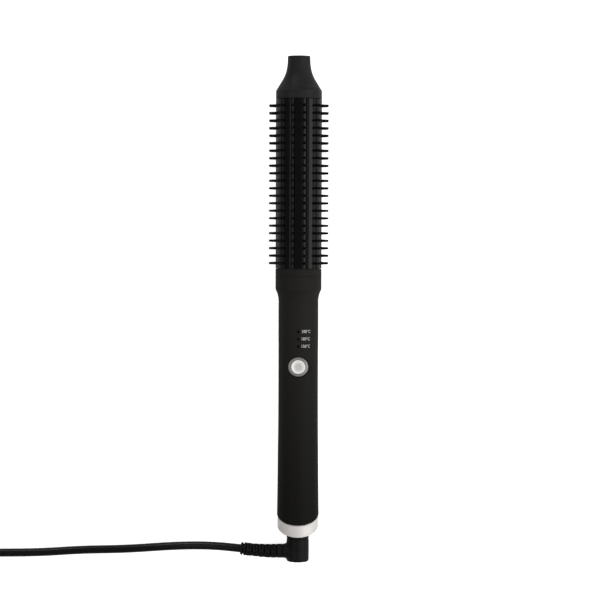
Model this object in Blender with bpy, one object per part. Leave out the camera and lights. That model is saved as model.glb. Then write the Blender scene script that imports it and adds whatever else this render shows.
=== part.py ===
"""A 32 mm round hot brush with a swivel cord, lying on its bristles as on a table.

In the world, +Y runs along the brush to its cool tip, +Z is up and the table is at Z = 0.
Along the brush, places are measured on its own Z axis, from the joint between the handle's
collar and the lower end ring, positive towards the tip. Its own -Y side holds the button and
faces up, and its own +Y side faces the table.
"""

import math

import bmesh
import bpy
import numpy as np
from mathutils import Matrix, Vector

MM = 0.001
FULL_TURN = math.tau
HALF_TURN = math.tau / 2
QUARTER_TURN = math.tau / 4

# Fits that all pieces share
GAP = 0.3 * MM
HALF_GAP = GAP / 2
OVERRUN = 2.0 * MM
WELD = 0.001 * MM
EDGE = 0.4 * MM
SHARP_ANGLE = math.radians(35)

# Sides of round pieces, multiples of four so that a corner lies at the back and at each side
ROUND_STEPS = 36
SMALL_STEPS = 24
TINY_STEPS = 12

# Heated barrel, an extrusion with a T-slot for each comb
BARREL_RADIUS = 16.0 * MM
BARREL_LENGTH = 117.5 * MM
SLOT_MOUTH = 2.5 * MM
SLOT_WIDTH = 3.8 * MM
SLOT_LIP = 1.4 * MM
SLOT_DEPTH = 2.9 * MM
SLOT_FLOOR = 1.1 * MM
LAND_STEPS = 4
LOWER_RING_LENGTH = 5.2 * MM
UPPER_RING_LENGTH = 5.75 * MM

# Combs of bristles
COMB_COUNT = 12
BRISTLE_PITCH = 5.2 * MM
BRISTLE_HEIGHT = 5.3 * MM
BRISTLE_FOOT = 1.7 * MM
BRISTLE_HEAD = 1.1 * MM
BRISTLE_ROOT = 0.6 * MM
FIRST_BRISTLE = 3.7 * MM
COMB_DROP = 0.2 * MM

# Cool tip, whose cone runs on over the upper ring's top. Its shares are of its height above the
# cone's foot and of what the foot's radius has over the end's
TIP_LENGTH = 24.15 * MM
TIP_SEAM = 1.2 * MM
TIP_END_RADIUS = 7.8 * MM
TIP_WALL = 2.0 * MM
TIP_SPIGOT = 13.0 * MM
TIP_SHARES = (
    (0.975, 0.0),
    (0.81, 0.021),
    (0.69, 0.057),
    (0.575, 0.122),
    (0.46, 0.228),
    (0.345, 0.39),
    (0.23, 0.588),
    (0.115, 0.793),
)

# Heater inside the barrel
HEATER_THICKNESS = 3.4 * MM
HEATER_INSET = 3.0 * MM
TERMINAL_WIDTH = 2.6 * MM
TERMINAL_LENGTH = 4.0 * MM
TERMINAL_OFFSET = 2.5 * MM
SPREADER_CLEARANCE = 1.0 * MM
SPREADER_ROOM = 10.0 * MM
SENSOR_RADIUS = 1.6 * MM
SENSOR_LENGTH = 9.0 * MM
SENSOR_INSET = 32.0 * MM
SENSOR_MARGIN = 0.6 * MM
SENSOR_SPACE = 0.7 * MM

# Heat barrier between barrel and handle
BARRIER_SPIGOT = 15.0 * MM
BARRIER_FLANGE = 4.6 * MM
BARRIER_BORE = 4.6 * MM

# Handle: radius shares follow HANDLE_RADIUS, length shares run from the shoulder to the slanted end
HANDLE_RADIUS = 13.83 * MM
HANDLE_LENGTH = 148.6 * MM
HANDLE_WALL = 2.23 * MM
HANDLE_SHARES = (
    (0.0, 1.003),
    (0.14, 1.003),
    (0.28, 0.997),
    (0.56, 1.003),
    (0.70, 1.017),
    (0.80, 1.0245),
    (0.93, 1.041),
)
HANDLE_END_SHARE = 1.053
COLLAR_LENGTH = 9.1 * MM
COLLAR_WALL = 2.2 * MM
SHOULDER_LENGTH = 8.7 * MM
SHOULDER_SHARES = ((0.04, 0.94), (0.12, 0.81), (0.28, 0.53), (0.44, 0.30), (0.60, 0.15), (0.80, 0.06))
LIP_LENGTH = 2.2 * MM
END_SLANT = math.radians(24.5)
RIB_THICKNESS = 1.6 * MM
RIB_ROOT = 0.6 * MM
FRONT_RIB_INSETS = (5.2 * MM, 5.1 * MM)
REAR_RIB_INSETS = (11.0 * MM, 15.5 * MM)

# Slanted end ring
END_RING_STEP = 0.3 * MM
END_RING_LENGTH = 8.65 * MM
END_RING_EDGE = 0.5 * MM

# Push button, with its drops below the top of the handle's round
BUTTON_STATION = 62.75 * MM
BUTTON_RADIUS = 5.05 * MM
BUTTON_EDGE = 0.45 * MM
BUTTON_DROP = 0.83 * MM
BUTTON_TRAVEL = 0.6 * MM
BUTTON_FLANGE_RADIUS = 5.7 * MM
BUTTON_FLANGE = 0.8 * MM
STEM_RADIUS = 1.7 * MM
BEZEL_RADIUS = 6.95 * MM
BEZEL_DROP = 1.18 * MM
BEZEL_LAND = 0.35 * MM
BEZEL_SLOPE = 0.75 * MM
BEZEL_RIM = 0.7 * MM
BEZEL_SPIGOT_RADIUS = 6.0 * MM
BEZEL_SPIGOT = 2.0 * MM
POCKET_CLEARANCE = 0.45 * MM
SEAT_RADIUS = 8.6 * MM
SEAT_THICKNESS = 1.4 * MM
PLUNGER_LENGTH = 1.5 * MM
SWITCH_WIDTH = 6.0 * MM
SWITCH_BASE = 0.8 * MM

# Control board and what is on it
BOARD_MARGIN = 1.3 * MM
BOARD_LEAD = 10.8 * MM
BOARD_ROOM = 19.8 * MM
BOARD_THICKNESS = 1.6 * MM
RIB_TONGUE_INSET = 1.0 * MM
LIGHT_LEAD = 24.45 * MM
LIGHT_PITCH = 5.1 * MM
LIGHT_COUNT = 3
LIGHT_SIZE = 1.6 * MM
LIGHT_HEIGHT = 1.0 * MM
GUIDE_WIDTH = 2.4 * MM
GUIDE_THICKNESS = 1.5 * MM
PIN_RADIUS = 0.7 * MM
PIN_SINK = 0.1 * MM
TRIAC_SIZE = (10.0 * MM, 4.4 * MM, 9.0 * MM)
TRIAC_TAB = (10.0 * MM, 1.3 * MM, 5.5 * MM)
TRIAC_INSET = 25.5 * MM
CAPACITOR_SIZE = (11.0 * MM, 6.0 * MM, 13.0 * MM)
CAPACITOR_SPACE = 3.5 * MM

# Wires inside
WIRE_RADIUS = 0.8 * MM
WIRE_SPREAD = 3.0 * MM
WIRE_OVERLAP = 6.0 * MM
WIRE_STEP = 6.0 * MM

# End bush that carries the swivel
BUSH_RECESS = 0.8 * MM
BUSH_FLOOR = 17.0 * MM
BUSH_CUP = 14.0 * MM
CUP_CLEARANCE = 1.0 * MM
NECK_RADIUS = 7.27 * MM
NECK_SOCKET = 9.5 * MM

# Swivel boot: places on its spindle follow the bush
SPINDLE_RADIUS = 5.0 * MM
GROOVE_RADIUS = 4.2 * MM
SPINDLE_FLANGE = 0.8 * MM
CARRIER_RADIUS = 3.9 * MM
CLIP_RADIUS = 7.0 * MM
CLIP_THICKNESS = 1.2 * MM
CLIP_OPENING = math.radians(70)
SLIP_RING_RADIUS = 5.6 * MM
SLIP_RING_LENGTH = 3.0 * MM
SLIP_RING_SPACE = 2.0 * MM
SPRING_WIDTH = 3.0 * MM
SPRING_THICKNESS = 0.5 * MM
SPRING_INSET = 0.5 * MM
SPRING_RISE = 2.4 * MM
SPRING_BEND = 1.9 * MM
SPRING_TOUCH = 0.9 * MM
BOOT_RADIUS = 7.8 * MM
BOOT_LENGTH = 13.65 * MM
BOOT_NECK = 11.05 * MM
BOOT_EDGE = 1.6 * MM
ARM_RADIUS = 5.0 * MM
ARM_LENGTH = 2.8 * MM
ARM_FLARE = 1.5 * MM
ARM_HEIGHT = 7.45 * MM

# Strain relief, tapering along its ribs
RELIEF_LENGTH = 29.0 * MM
RELIEF_RIBS = 8
RELIEF_START_RADIUS = 5.0 * MM
RELIEF_END_RADIUS = 3.95 * MM
RELIEF_GROOVE = 1.1 * MM
RIB_SHARE = 0.56
RIB_SLOPE_SHARE = 0.08

# Cord: the route is hand-chosen, in world places, from the strain relief to the coil
CORD_RADIUS = 2.9 * MM
CORD_STEP = 12.0 * MM
CORD_ROUTE_MM = (
    (-20.0, -168.73, 13.2),
    (-30.0, -168.18, 12.8),
    (-40.0, -167.23, 11.9),
    (-47.5, -166.58, 10.9),
    (-55.0, -166.08, 9.7),
    (-63.0, -165.83, 8.3),
    (-71.0, -165.88, 6.9),
    (-80.0, -166.18, 5.4),
    (-90.0, -166.73, 4.15),
    (-100.0, -167.43, 3.3),
    (-110.0, -168.15, 3.0),
    (-121.0, -168.76, 2.96),
    (-133.0, -169.16, 2.96),
    (-147.0, -169.48, 2.96),
    (-161.0, -170.13, 2.96),
    (-175.0, -171.03, 2.96),
    (-190.0, -171.58, 2.96),
    (-205.0, -171.78, 2.96),
    (-220.0, -171.93, 3.0),
    (-234.0, -171.98, 3.6),
    (-248.0, -171.98, 4.1),
    (-254.0, -171.98, 4.1),
    (-260.0, -171.98, 4.1),
)

# Coil of the rest of the cord, wound in two layers
COIL_X = -264.5 * MM
COIL_TURNS = 7.25
COIL_MEAN_RADIUS = 34.4 * MM
TURN_PITCH = 6.3 * MM
LAYER_PITCH = 6.3 * MM
TURN_POINTS = 24
CLIMB_TURNS = 0.5
TAIL_LENGTH = 48.0 * MM
TAIL_LEVEL_SHARE = 0.2
TAIL_POINTS = 8
FINE_POINTS = 12

# Hook-and-loop tie round the coil's turns
TIE_THICKNESS = 0.9 * MM
TIE_WIDTH = 12.0 * MM
TIE_ANGLE = math.radians(60)
CORNER_STEPS = 4

# Flat two-pin plug: shares of its length, width and height
PLUG_LENGTH = 38.0 * MM
PLUG_WIDTH = 35.3 * MM
PLUG_HEIGHT = 13.7 * MM
PLUG_SHARES = (
    (0.0, 0.25, 0.62),
    (0.24, 0.30, 0.70),
    (0.36, 0.37, 0.80),
    (0.50, 0.64, 0.93),
    (0.64, 0.92, 1.0),
    (0.74, 1.0, 1.0),
    (0.96, 1.0, 1.0),
    (1.0, 0.96, 0.92),
)
SECTION_POWER = 4.0
PLUG_STEPS = 28
PLUG_PIN_RADIUS = 2.0 * MM
PLUG_PIN_LENGTH = 19.0 * MM
PLUG_PIN_SPACING = 19.0 * MM
PLUG_SOCKET_DEPTH = 3.0 * MM

# Radii that follow from the sizes above
BARREL_BORE = BARREL_RADIUS - SLOT_DEPTH - SLOT_FLOOR
BRISTLE_REACH = BARREL_RADIUS + BRISTLE_HEIGHT
COLLAR_BORE = BARREL_RADIUS - COLLAR_WALL
HANDLE_BORE = HANDLE_RADIUS - HANDLE_WALL
END_RING_RADIUS = HANDLE_RADIUS + END_RING_STEP
BUSH_CUP_BORE = CLIP_RADIUS + CUP_CLEARANCE
ARM_REACH = BOOT_RADIUS + ARM_LENGTH
RELIEF_TAPER = RELIEF_START_RADIUS - RELIEF_END_RADIUS
SENSOR_PLACE = BARREL_BORE - SENSOR_MARGIN - SENSOR_RADIUS
HEATER_WIDTH = 2 * (SENSOR_PLACE - SENSOR_RADIUS - SENSOR_SPACE)

# Places along the brush that follow from the sizes above
BARREL_START = LOWER_RING_LENGTH
BARREL_END = BARREL_START + BARREL_LENGTH
BRISTLE_COUNT = 1 + int((BARREL_LENGTH - 2 * FIRST_BRISTLE) / BRISTLE_PITCH)
TIP_FOOT = BARREL_END + UPPER_RING_LENGTH
TIP_TOP = TIP_FOOT + TIP_LENGTH
SPREADER_START = BARRIER_SPIGOT + SPREADER_CLEARANCE
SPREADER_END = TIP_FOOT - TIP_SPIGOT - SPREADER_ROOM
HEATER_START = SPREADER_START + HEATER_INSET
HEATER_END = SPREADER_END - HEATER_INSET
SENSOR_START = SPREADER_START + SENSOR_INSET
SHOULDER_START = -COLLAR_LENGTH
GRIP_START = SHOULDER_START - SHOULDER_LENGTH
HANDLE_END = GRIP_START - HANDLE_LENGTH
END_RING_END = HANDLE_END - END_RING_LENGTH
BUSH_END = END_RING_END + BUSH_RECESS
NECK_TOP = BUSH_END + NECK_SOCKET
BUSH_FLOOR_TOP = NECK_TOP + BUSH_FLOOR
BUSH_TOP = BUSH_FLOOR_TOP + BUSH_CUP
BOOT_TOP = END_RING_END - BOOT_NECK
BOOT_END = BOOT_TOP - BOOT_LENGTH
ARM_STATION = BOOT_END + ARM_HEIGHT
CLIP_BOTTOM = BUSH_FLOOR_TOP + GAP
CLIP_TOP = CLIP_BOTTOM + CLIP_THICKNESS
CARRIER_START = CLIP_TOP + GAP + SPINDLE_FLANGE
NEUTRAL_RING_START = CARRIER_START + GAP
LIVE_RING_START = NEUTRAL_RING_START + SLIP_RING_LENGTH + SLIP_RING_SPACE
CARRIER_END = LIVE_RING_START + SLIP_RING_LENGTH + GAP
LIGHT_FIRST = BUTTON_STATION - LIGHT_LEAD
BOARD_TOP = BOARD_LEAD - LIGHT_FIRST
BOARD_END = BUSH_TOP + BOARD_ROOM
TRIAC_TOP = BOARD_END + TRIAC_INSET
CAPACITOR_END = TRIAC_TOP + TRIAC_TAB[2] + CAPACITOR_SPACE

# Heights outwards from the axis under the button that follow from the sizes above
BUTTON_TOP = HANDLE_RADIUS - BUTTON_DROP
BEZEL_TOP = HANDLE_RADIUS - BEZEL_DROP
BEZEL_SEAT = BEZEL_TOP - BEZEL_SLOPE - BEZEL_RIM
POCKET_FLOOR = BEZEL_SEAT - GAP
BEZEL_FOOT = BEZEL_SEAT - BEZEL_SPIGOT
BUTTON_FLANGE_TOP = BEZEL_FOOT - GAP
BUTTON_FLANGE_FOOT = BUTTON_FLANGE_TOP - BUTTON_FLANGE
BUTTON_FOOT = BUTTON_FLANGE_FOOT - GAP
PLUNGER_TOP = BUTTON_FOOT - GAP
PLUNGER_FOOT = PLUNGER_TOP - PLUNGER_LENGTH
SWITCH_TOP = BUTTON_FLANGE_FOOT - BUTTON_TRAVEL - GAP
SWITCH_BORE_FLOOR = PLUNGER_FOOT - BUTTON_TRAVEL - GAP
SWITCH_FOOT = SWITCH_BORE_FLOOR - SWITCH_BASE
BOARD_FRONT = SWITCH_FOOT - GAP
BOARD_BACK = BOARD_FRONT - BOARD_THICKNESS
BOARD_WIDTH = 2 * math.sqrt((HANDLE_BORE - BOARD_MARGIN) ** 2 - BOARD_FRONT**2)

CORD_DIAMETER = 2 * CORD_RADIUS
COIL_BASE = TIE_THICKNESS + GAP + CORD_RADIUS
COIL_OUTER = COIL_MEAN_RADIUS + TURN_PITCH * COIL_TURNS / 4
COIL_INNER = COIL_MEAN_RADIUS - TURN_PITCH * COIL_TURNS / 4
COIL_Y = CORD_ROUTE_MM[-1][1] * MM + COIL_OUTER


# Basic tools


def clear_scene():
    for item in list(bpy.data.objects):
        bpy.data.objects.remove(item)


def finish(name, colour, roughness, metallic=0.0):
    """A plain surface finish."""
    made = bpy.data.materials.new(name)
    made.use_nodes = True
    shader = made.node_tree.nodes["Principled BSDF"]
    shader.inputs["Base Color"].default_value = (*colour, 1.0)
    shader.inputs["Roughness"].default_value = roughness
    shader.inputs["Metallic"].default_value = metallic
    made.diffuse_color = (*colour, 1.0)
    return made


def axis_empty(name, location=(0, 0, 0), rotation=(0, 0, 0), parent=None):
    made = bpy.data.objects.new(name, None)
    made.location = location
    made.rotation_euler = rotation
    made.parent = parent
    bpy.context.scene.collection.objects.link(made)
    return made


def mesh_from(name, shape):
    """Turns a bmesh into a mesh with outward faces, smooth but for its sharp edges."""
    bmesh.ops.recalc_face_normals(shape, faces=shape.faces)
    mesh = bpy.data.meshes.new(name)
    shape.to_mesh(mesh)
    shape.free()
    mesh.shade_smooth()
    mesh.set_sharp_from_angle(angle=SHARP_ANGLE)
    return mesh


def piece(name, shape, look, parent=None, rotation=(0, 0, 0)):
    """One sub-part from a bmesh or from a mesh that several sub-parts share."""
    mesh = mesh_from(name, shape) if isinstance(shape, bmesh.types.BMesh) else shape
    made = bpy.data.objects.new(name, mesh)
    made.parent = parent
    made.rotation_euler = rotation
    bpy.context.scene.collection.objects.link(made)
    if not mesh.materials:
        mesh.materials.append(look)
    return made


def combine(target, operation, name, shape):
    """Adds a Boolean to a sub-part, with a hidden helper that shares its parent."""
    helper = bpy.data.objects.new(name, mesh_from(name, shape))
    helper.parent = target.parent
    helper.hide_render = True
    helper.display_type = "WIRE"
    bpy.context.scene.collection.objects.link(helper)
    boolean = target.modifiers.new(name, "BOOLEAN")
    boolean.operation = operation
    boolean.object = helper


def united_mesh(name, base, extra):
    """One mesh from two overlapping shapes, for sub-parts that share it."""
    holder = bpy.data.objects.new(name, mesh_from(name, base))
    bpy.context.scene.collection.objects.link(holder)
    combine(holder, "UNION", name + "_extra", extra)
    helper = holder.modifiers[0].object
    ready = holder.evaluated_get(bpy.context.evaluated_depsgraph_get())
    mesh = bpy.data.meshes.new_from_object(ready)
    mesh.name = name
    bpy.data.objects.remove(holder)
    bpy.data.objects.remove(helper)
    return mesh


def lathe(outline, steps=ROUND_STEPS, start=0.0, sweep=FULL_TURN):
    """Turns (radius, height) points round the Z axis.

    An outline whose ends lie on the axis stays open there, and any other is closed. A part turn
    gets a face at each end.
    """
    shape = bmesh.new()
    ring = [shape.verts.new((r * math.cos(start), r * math.sin(start), z)) for r, z in outline]
    edges = [shape.edges.new(pair) for pair in zip(ring, ring[1:])]
    if outline[0][0] > 0:
        edges.append(shape.edges.new((ring[-1], ring[0])))
    turned = bmesh.ops.spin(
        shape, geom=ring + edges, cent=(0, 0, 0), axis=(0, 0, 1), angle=sweep, steps=steps
    )
    if sweep < FULL_TURN:
        last = [item for item in turned["geom_last"] if isinstance(item, bmesh.types.BMEdge)]
        shape.faces.new(ring)
        bmesh.ops.contextual_create(shape, geom=last)
    bmesh.ops.remove_doubles(shape, verts=shape.verts, dist=WELD)
    return shape


def extruded(loops, bottom, top):
    """Extrudes closed loops of (x, y) points along Z. Loops inside the first are holes."""
    shape = bmesh.new()
    edges = []
    for loop in loops:
        ring = [shape.verts.new((x, y, bottom)) for x, y in loop]
        edges += [shape.edges.new(pair) for pair in zip(ring, ring[1:] + ring[:1])]
    if len(loops) == 1:
        shape.faces.new(ring)
    else:
        bmesh.ops.triangle_fill(shape, edges=edges, use_beauty=True)
    raised = bmesh.ops.extrude_face_region(shape, geom=shape.faces[:] + shape.edges[:])
    lifted = [item for item in raised["geom"] if isinstance(item, bmesh.types.BMVert)]
    bmesh.ops.translate(shape, verts=lifted, vec=(0, 0, top - bottom))
    return shape


def block(low, high):
    """A box between two corners."""
    shape = bmesh.new()
    bmesh.ops.create_cube(shape, size=1)
    size = Vector(high) - Vector(low)
    middle = (Vector(high) + Vector(low)) / 2
    bmesh.ops.transform(
        shape, matrix=Matrix.Translation(middle) @ Matrix.Diagonal((*size, 1)), verts=shape.verts
    )
    return shape


def merged(shapes):
    """Puts shapes that lie apart into one bmesh."""
    whole = bmesh.new()
    for shape in shapes:
        mesh = bpy.data.meshes.new("part")
        shape.to_mesh(mesh)
        shape.free()
        whole.from_mesh(mesh)
        bpy.data.meshes.remove(mesh)
    return whole


def moved(shape, matrix):
    bmesh.ops.transform(shape, matrix=matrix, verts=shape.verts)
    return shape


def arc(radius, start, end, steps, centre=(0, 0)):
    """Points on an arc, both ends included."""
    turns = [start + (end - start) * i / steps for i in range(steps + 1)]
    return [(centre[0] + radius * math.cos(t), centre[1] + radius * math.sin(t)) for t in turns]


def slanted(shape, below):
    """Shears the points under a height, so that an end face lies at the handle's slant."""
    for vert in shape.verts:
        if vert.co.z < below:
            vert.co.z += math.tan(END_SLANT) * vert.co.y
    return shape


def smooth_line(points, step):
    """A Catmull-Rom curve through the points, read at equal steps along its length."""
    route = [Vector(p) for p in points]
    route = [2 * route[0] - route[1]] + route + [2 * route[-1] - route[-2]]
    fine = []
    for a, b, c, d in zip(route, route[1:], route[2:], route[3:]):
        squared = 2 * a - 5 * b + 4 * c - d
        cubed = 3 * b - a - 3 * c + d
        for i in range(FINE_POINTS):
            t = i / FINE_POINTS
            fine.append((2 * b + (c - a) * t + squared * t**2 + cubed * t**3) / 2)
    fine.append(route[-2])
    return resampled(np.array(fine), step)


def lengths_along(points):
    return np.concatenate([[0], np.cumsum(np.linalg.norm(np.diff(points, axis=0), axis=1))])


def resampled(points, step, start=0.0, end=None):
    """Points at equal steps between two lengths along a line."""
    along = lengths_along(points)
    end = along[-1] if end is None else end
    count = max(2, round((end - start) / step) + 1)
    at = np.linspace(start, end, count)
    return np.stack([np.interp(at, along, points[:, k]) for k in range(3)], axis=1)


def tube(name, points, radius, look, resolution, parent=None, radii=None):
    """A round tube with closed ends along a line. Resolution 1 gives 6 sides, and 2 gives 8."""
    curve = bpy.data.curves.new(name, "CURVE")
    curve.dimensions = "3D"
    curve.bevel_depth = radius
    curve.bevel_resolution = resolution
    curve.use_fill_caps = True
    spline = curve.splines.new("POLY")
    spline.points.add(len(points) - 1)
    for i, place in enumerate(points):
        spline.points[i].co = (*place, 1)
        spline.points[i].radius = 1 if radii is None else radii[i] / radius
    curve.materials.append(look)
    made = bpy.data.objects.new(name, curve)
    made.parent = parent
    bpy.context.scene.collection.objects.link(made)
    return made


# How the brush lies on the table


def resting_pose():
    """The tilt, and the place of the brush's own origin, with the brush down on its table.

    It lies on the last bristles of the two lowest combs and on the back edge of the handle's
    slanted end, where the handle is shortest.
    """
    half_step = FULL_TURN / COMB_COUNT / 2
    corner = BRISTLE_HEAD / 2
    bristle_depth = BRISTLE_REACH * math.cos(half_step) + corner * math.sin(half_step)
    bristle_station = BARREL_START + FIRST_BRISTLE - corner
    end_depth = HANDLE_RADIUS * HANDLE_END_SHARE
    end_station = HANDLE_END + EDGE + math.tan(END_SLANT) * end_depth
    tilt = math.atan((bristle_depth - end_depth) / (bristle_station - end_station))
    height = bristle_depth * math.cos(tilt) - bristle_station * math.sin(tilt)
    front = TIP_TOP * math.cos(tilt) + (TIP_END_RADIUS - EDGE) * math.sin(tilt)
    back = BOOT_END * math.cos(tilt) - (BOOT_RADIUS - BOOT_EDGE) * math.sin(tilt)
    return tilt, Vector((0, -(front + back) / 2, height))


TILT, BRUSH_PLACE = resting_pose()
BRUSH_TURN = (TILT - QUARTER_TURN, 0, 0)


def world_place(x, y, z):
    """A place in the brush's own frame, in the world."""
    turn = Matrix.Rotation(BRUSH_TURN[0], 4, "X")
    return BRUSH_PLACE + turn @ Vector((x, y, z))


# Heated end


def slot_angle(index):
    return (index + 0.5) * FULL_TURN / COMB_COUNT


def barrel_shape():
    """The extrusion: a round bore, and a T-slot for each comb in its outside."""
    mouth_angle = math.asin(SLOT_MOUTH / 2 / BARREL_RADIUS)
    outside = []
    for index in range(COMB_COUNT):
        turn = Matrix.Rotation(slot_angle(index), 2)
        lip = BARREL_RADIUS - SLOT_LIP
        floor = BARREL_RADIUS - SLOT_DEPTH
        slot = [
            (lip, -SLOT_MOUTH / 2),
            (lip, -SLOT_WIDTH / 2),
            (floor, -SLOT_WIDTH / 2),
            (floor, SLOT_WIDTH / 2),
            (lip, SLOT_WIDTH / 2),
            (lip, SLOT_MOUTH / 2),
        ]
        land_start = slot_angle(index) + mouth_angle
        land_end = slot_angle(index + 1) - mouth_angle
        outside += [tuple(turn @ Vector(p)) for p in slot]
        outside += arc(BARREL_RADIUS, land_start, land_end, LAND_STEPS)
    bore = arc(BARREL_BORE, 0, FULL_TURN, ROUND_STEPS)[:-1]
    return extruded([outside, bore], BARREL_START + HALF_GAP, BARREL_END - HALF_GAP)


def comb_mesh():
    """A T-section strip that slides into its slot, with its row of tapered bristles."""
    top = BARREL_RADIUS - COMB_DROP
    neck = SLOT_MOUTH / 2 - GAP
    foot = SLOT_WIDTH / 2 - GAP
    shelf = BARREL_RADIUS - SLOT_LIP - GAP
    floor = BARREL_RADIUS - SLOT_DEPTH + GAP
    section = [
        (top, -neck),
        (top, neck),
        (shelf, neck),
        (shelf, foot),
        (floor, foot),
        (floor, -foot),
        (shelf, -foot),
        (shelf, -neck),
    ]
    strip = extruded([section], BARREL_START + HALF_GAP, BARREL_END - HALF_GAP)
    root = top - BRISTLE_ROOT
    length = BRISTLE_REACH - root
    across = Matrix.Rotation(QUARTER_TURN, 4, "Y") @ Matrix.Rotation(QUARTER_TURN / 2, 4, "Z")
    bristles = []
    for index in range(BRISTLE_COUNT):
        station = BARREL_START + FIRST_BRISTLE + index * BRISTLE_PITCH
        bristle = bmesh.new()
        bmesh.ops.create_cone(
            bristle,
            cap_ends=True,
            segments=4,
            radius1=BRISTLE_FOOT / math.sqrt(2),
            radius2=BRISTLE_HEAD / math.sqrt(2),
            depth=length,
        )
        middle = Vector((root + length / 2, 0, station))
        bristles.append(moved(bristle, Matrix.Translation(middle) @ across))
    return united_mesh("comb", strip, merged(bristles))


def lower_ring_shape():
    """The ring that covers the slots' lower ends, with a small chamfer on both outer edges."""
    low = HALF_GAP
    high = LOWER_RING_LENGTH - HALF_GAP
    return lathe(
        [
            (BARREL_BORE, low),
            (BARREL_RADIUS - EDGE, low),
            (BARREL_RADIUS, low + EDGE),
            (BARREL_RADIUS, high - EDGE),
            (BARREL_RADIUS - EDGE, high),
            (BARREL_BORE, high),
        ]
    )


def tip_cone():
    """Points down the tip's side, from its flat end to the foot of the cone."""
    spread = BARREL_RADIUS - TIP_END_RADIUS
    cone = [(TIP_END_RADIUS + spread * r, TIP_FOOT + TIP_LENGTH * h) for h, r in TIP_SHARES]
    return [*cone, (BARREL_RADIUS, TIP_FOOT)]


def cone_radius(height):
    """The cone's radius at a place between its points."""
    points = tip_cone()[::-1]
    return float(np.interp(height, [z for _, z in points], [r for r, _ in points]))


def upper_ring_shape():
    """The ring that covers the slots' upper ends. Its top slopes in with the tip's cone."""
    low = BARREL_END + HALF_GAP
    high = TIP_FOOT + TIP_SEAM - HALF_GAP
    return lathe(
        [
            (BARREL_BORE, low),
            (BARREL_RADIUS - EDGE, low),
            (BARREL_RADIUS, low + EDGE),
            (BARREL_RADIUS, TIP_FOOT),
            (cone_radius(high), high),
            (BARREL_BORE, high),
        ]
    )


def cool_tip_shape():
    """A hollow cap that sweeps from the barrel's width to a narrow flat end."""
    foot = TIP_FOOT + TIP_SEAM + HALF_GAP
    cone = [point for point in tip_cone() if point[1] > foot + EDGE]
    spigot = BARREL_BORE - GAP
    hollow = spigot - TIP_WALL
    inside = [(r - TIP_WALL, z) for r, z in cone[-1:1:-2] if r - TIP_WALL < hollow]
    return lathe(
        [
            (0, TIP_TOP),
            (TIP_END_RADIUS - EDGE, TIP_TOP),
            *cone,
            (cone_radius(foot), foot),
            (spigot, foot),
            (spigot, TIP_FOOT - TIP_SPIGOT),
            (hollow, TIP_FOOT - TIP_SPIGOT),
            (hollow, inside[0][1] - TIP_WALL),
            *inside,
            (TIP_END_RADIUS - TIP_WALL, TIP_TOP - TIP_WALL),
            (0, TIP_TOP - TIP_WALL),
        ]
    )


def spreader_shape():
    """A half-round bar that carries heat from the flat heater to the barrel's bore."""
    flat = HEATER_THICKNESS / 2 + GAP
    radius = BARREL_BORE - GAP
    corner = math.asin(flat / radius)
    outline = arc(radius, corner, HALF_TURN - corner, ROUND_STEPS // 2)
    return extruded([outline], SPREADER_START, SPREADER_END)


def heater_shape():
    """The flat heater pack, with a terminal for each wire at its lower end."""
    low = HEATER_START
    half = HEATER_WIDTH / 2
    outline = [(half, low), (half, HEATER_END), (-half, HEATER_END), (-half, low)]
    terminal_end = low - TERMINAL_LENGTH
    for side in (-1, 1):
        for edge, station in ((-1, low), (-1, terminal_end), (1, terminal_end), (1, low)):
            outline.append((side * TERMINAL_OFFSET + edge * TERMINAL_WIDTH / 2, station))
    pack = extruded([outline], -HEATER_THICKNESS / 2, HEATER_THICKNESS / 2)
    return moved(pack, Matrix.Rotation(QUARTER_TURN, 4, "X"))


def sensor_shape(side):
    """A small round part that lies in the gap beside the heater."""
    round_edge = SENSOR_RADIUS - EDGE
    high = SENSOR_START + SENSOR_LENGTH
    capsule = lathe(
        [
            (0, SENSOR_START),
            (round_edge, SENSOR_START),
            (SENSOR_RADIUS, SENSOR_START + EDGE),
            (SENSOR_RADIUS, high - EDGE),
            (round_edge, high),
            (0, high),
        ],
        TINY_STEPS,
    )
    return moved(capsule, Matrix.Translation((side * SENSOR_PLACE, 0, 0)))


def heat_barrier_shape():
    """The plug that joins barrel and handle: a spigot in the bore and a flange in the collar."""
    spigot = BARREL_BORE - GAP
    flange = COLLAR_BORE - GAP
    flange_top = -LIP_LENGTH - GAP
    spigot_top = BARRIER_SPIGOT
    return lathe(
        [
            (BARRIER_BORE, flange_top - BARRIER_FLANGE),
            (flange, flange_top - BARRIER_FLANGE),
            (flange, flange_top),
            (spigot, flange_top),
            (spigot, spigot_top),
            (BARRIER_BORE, spigot_top),
        ]
    )


# Handle


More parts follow.
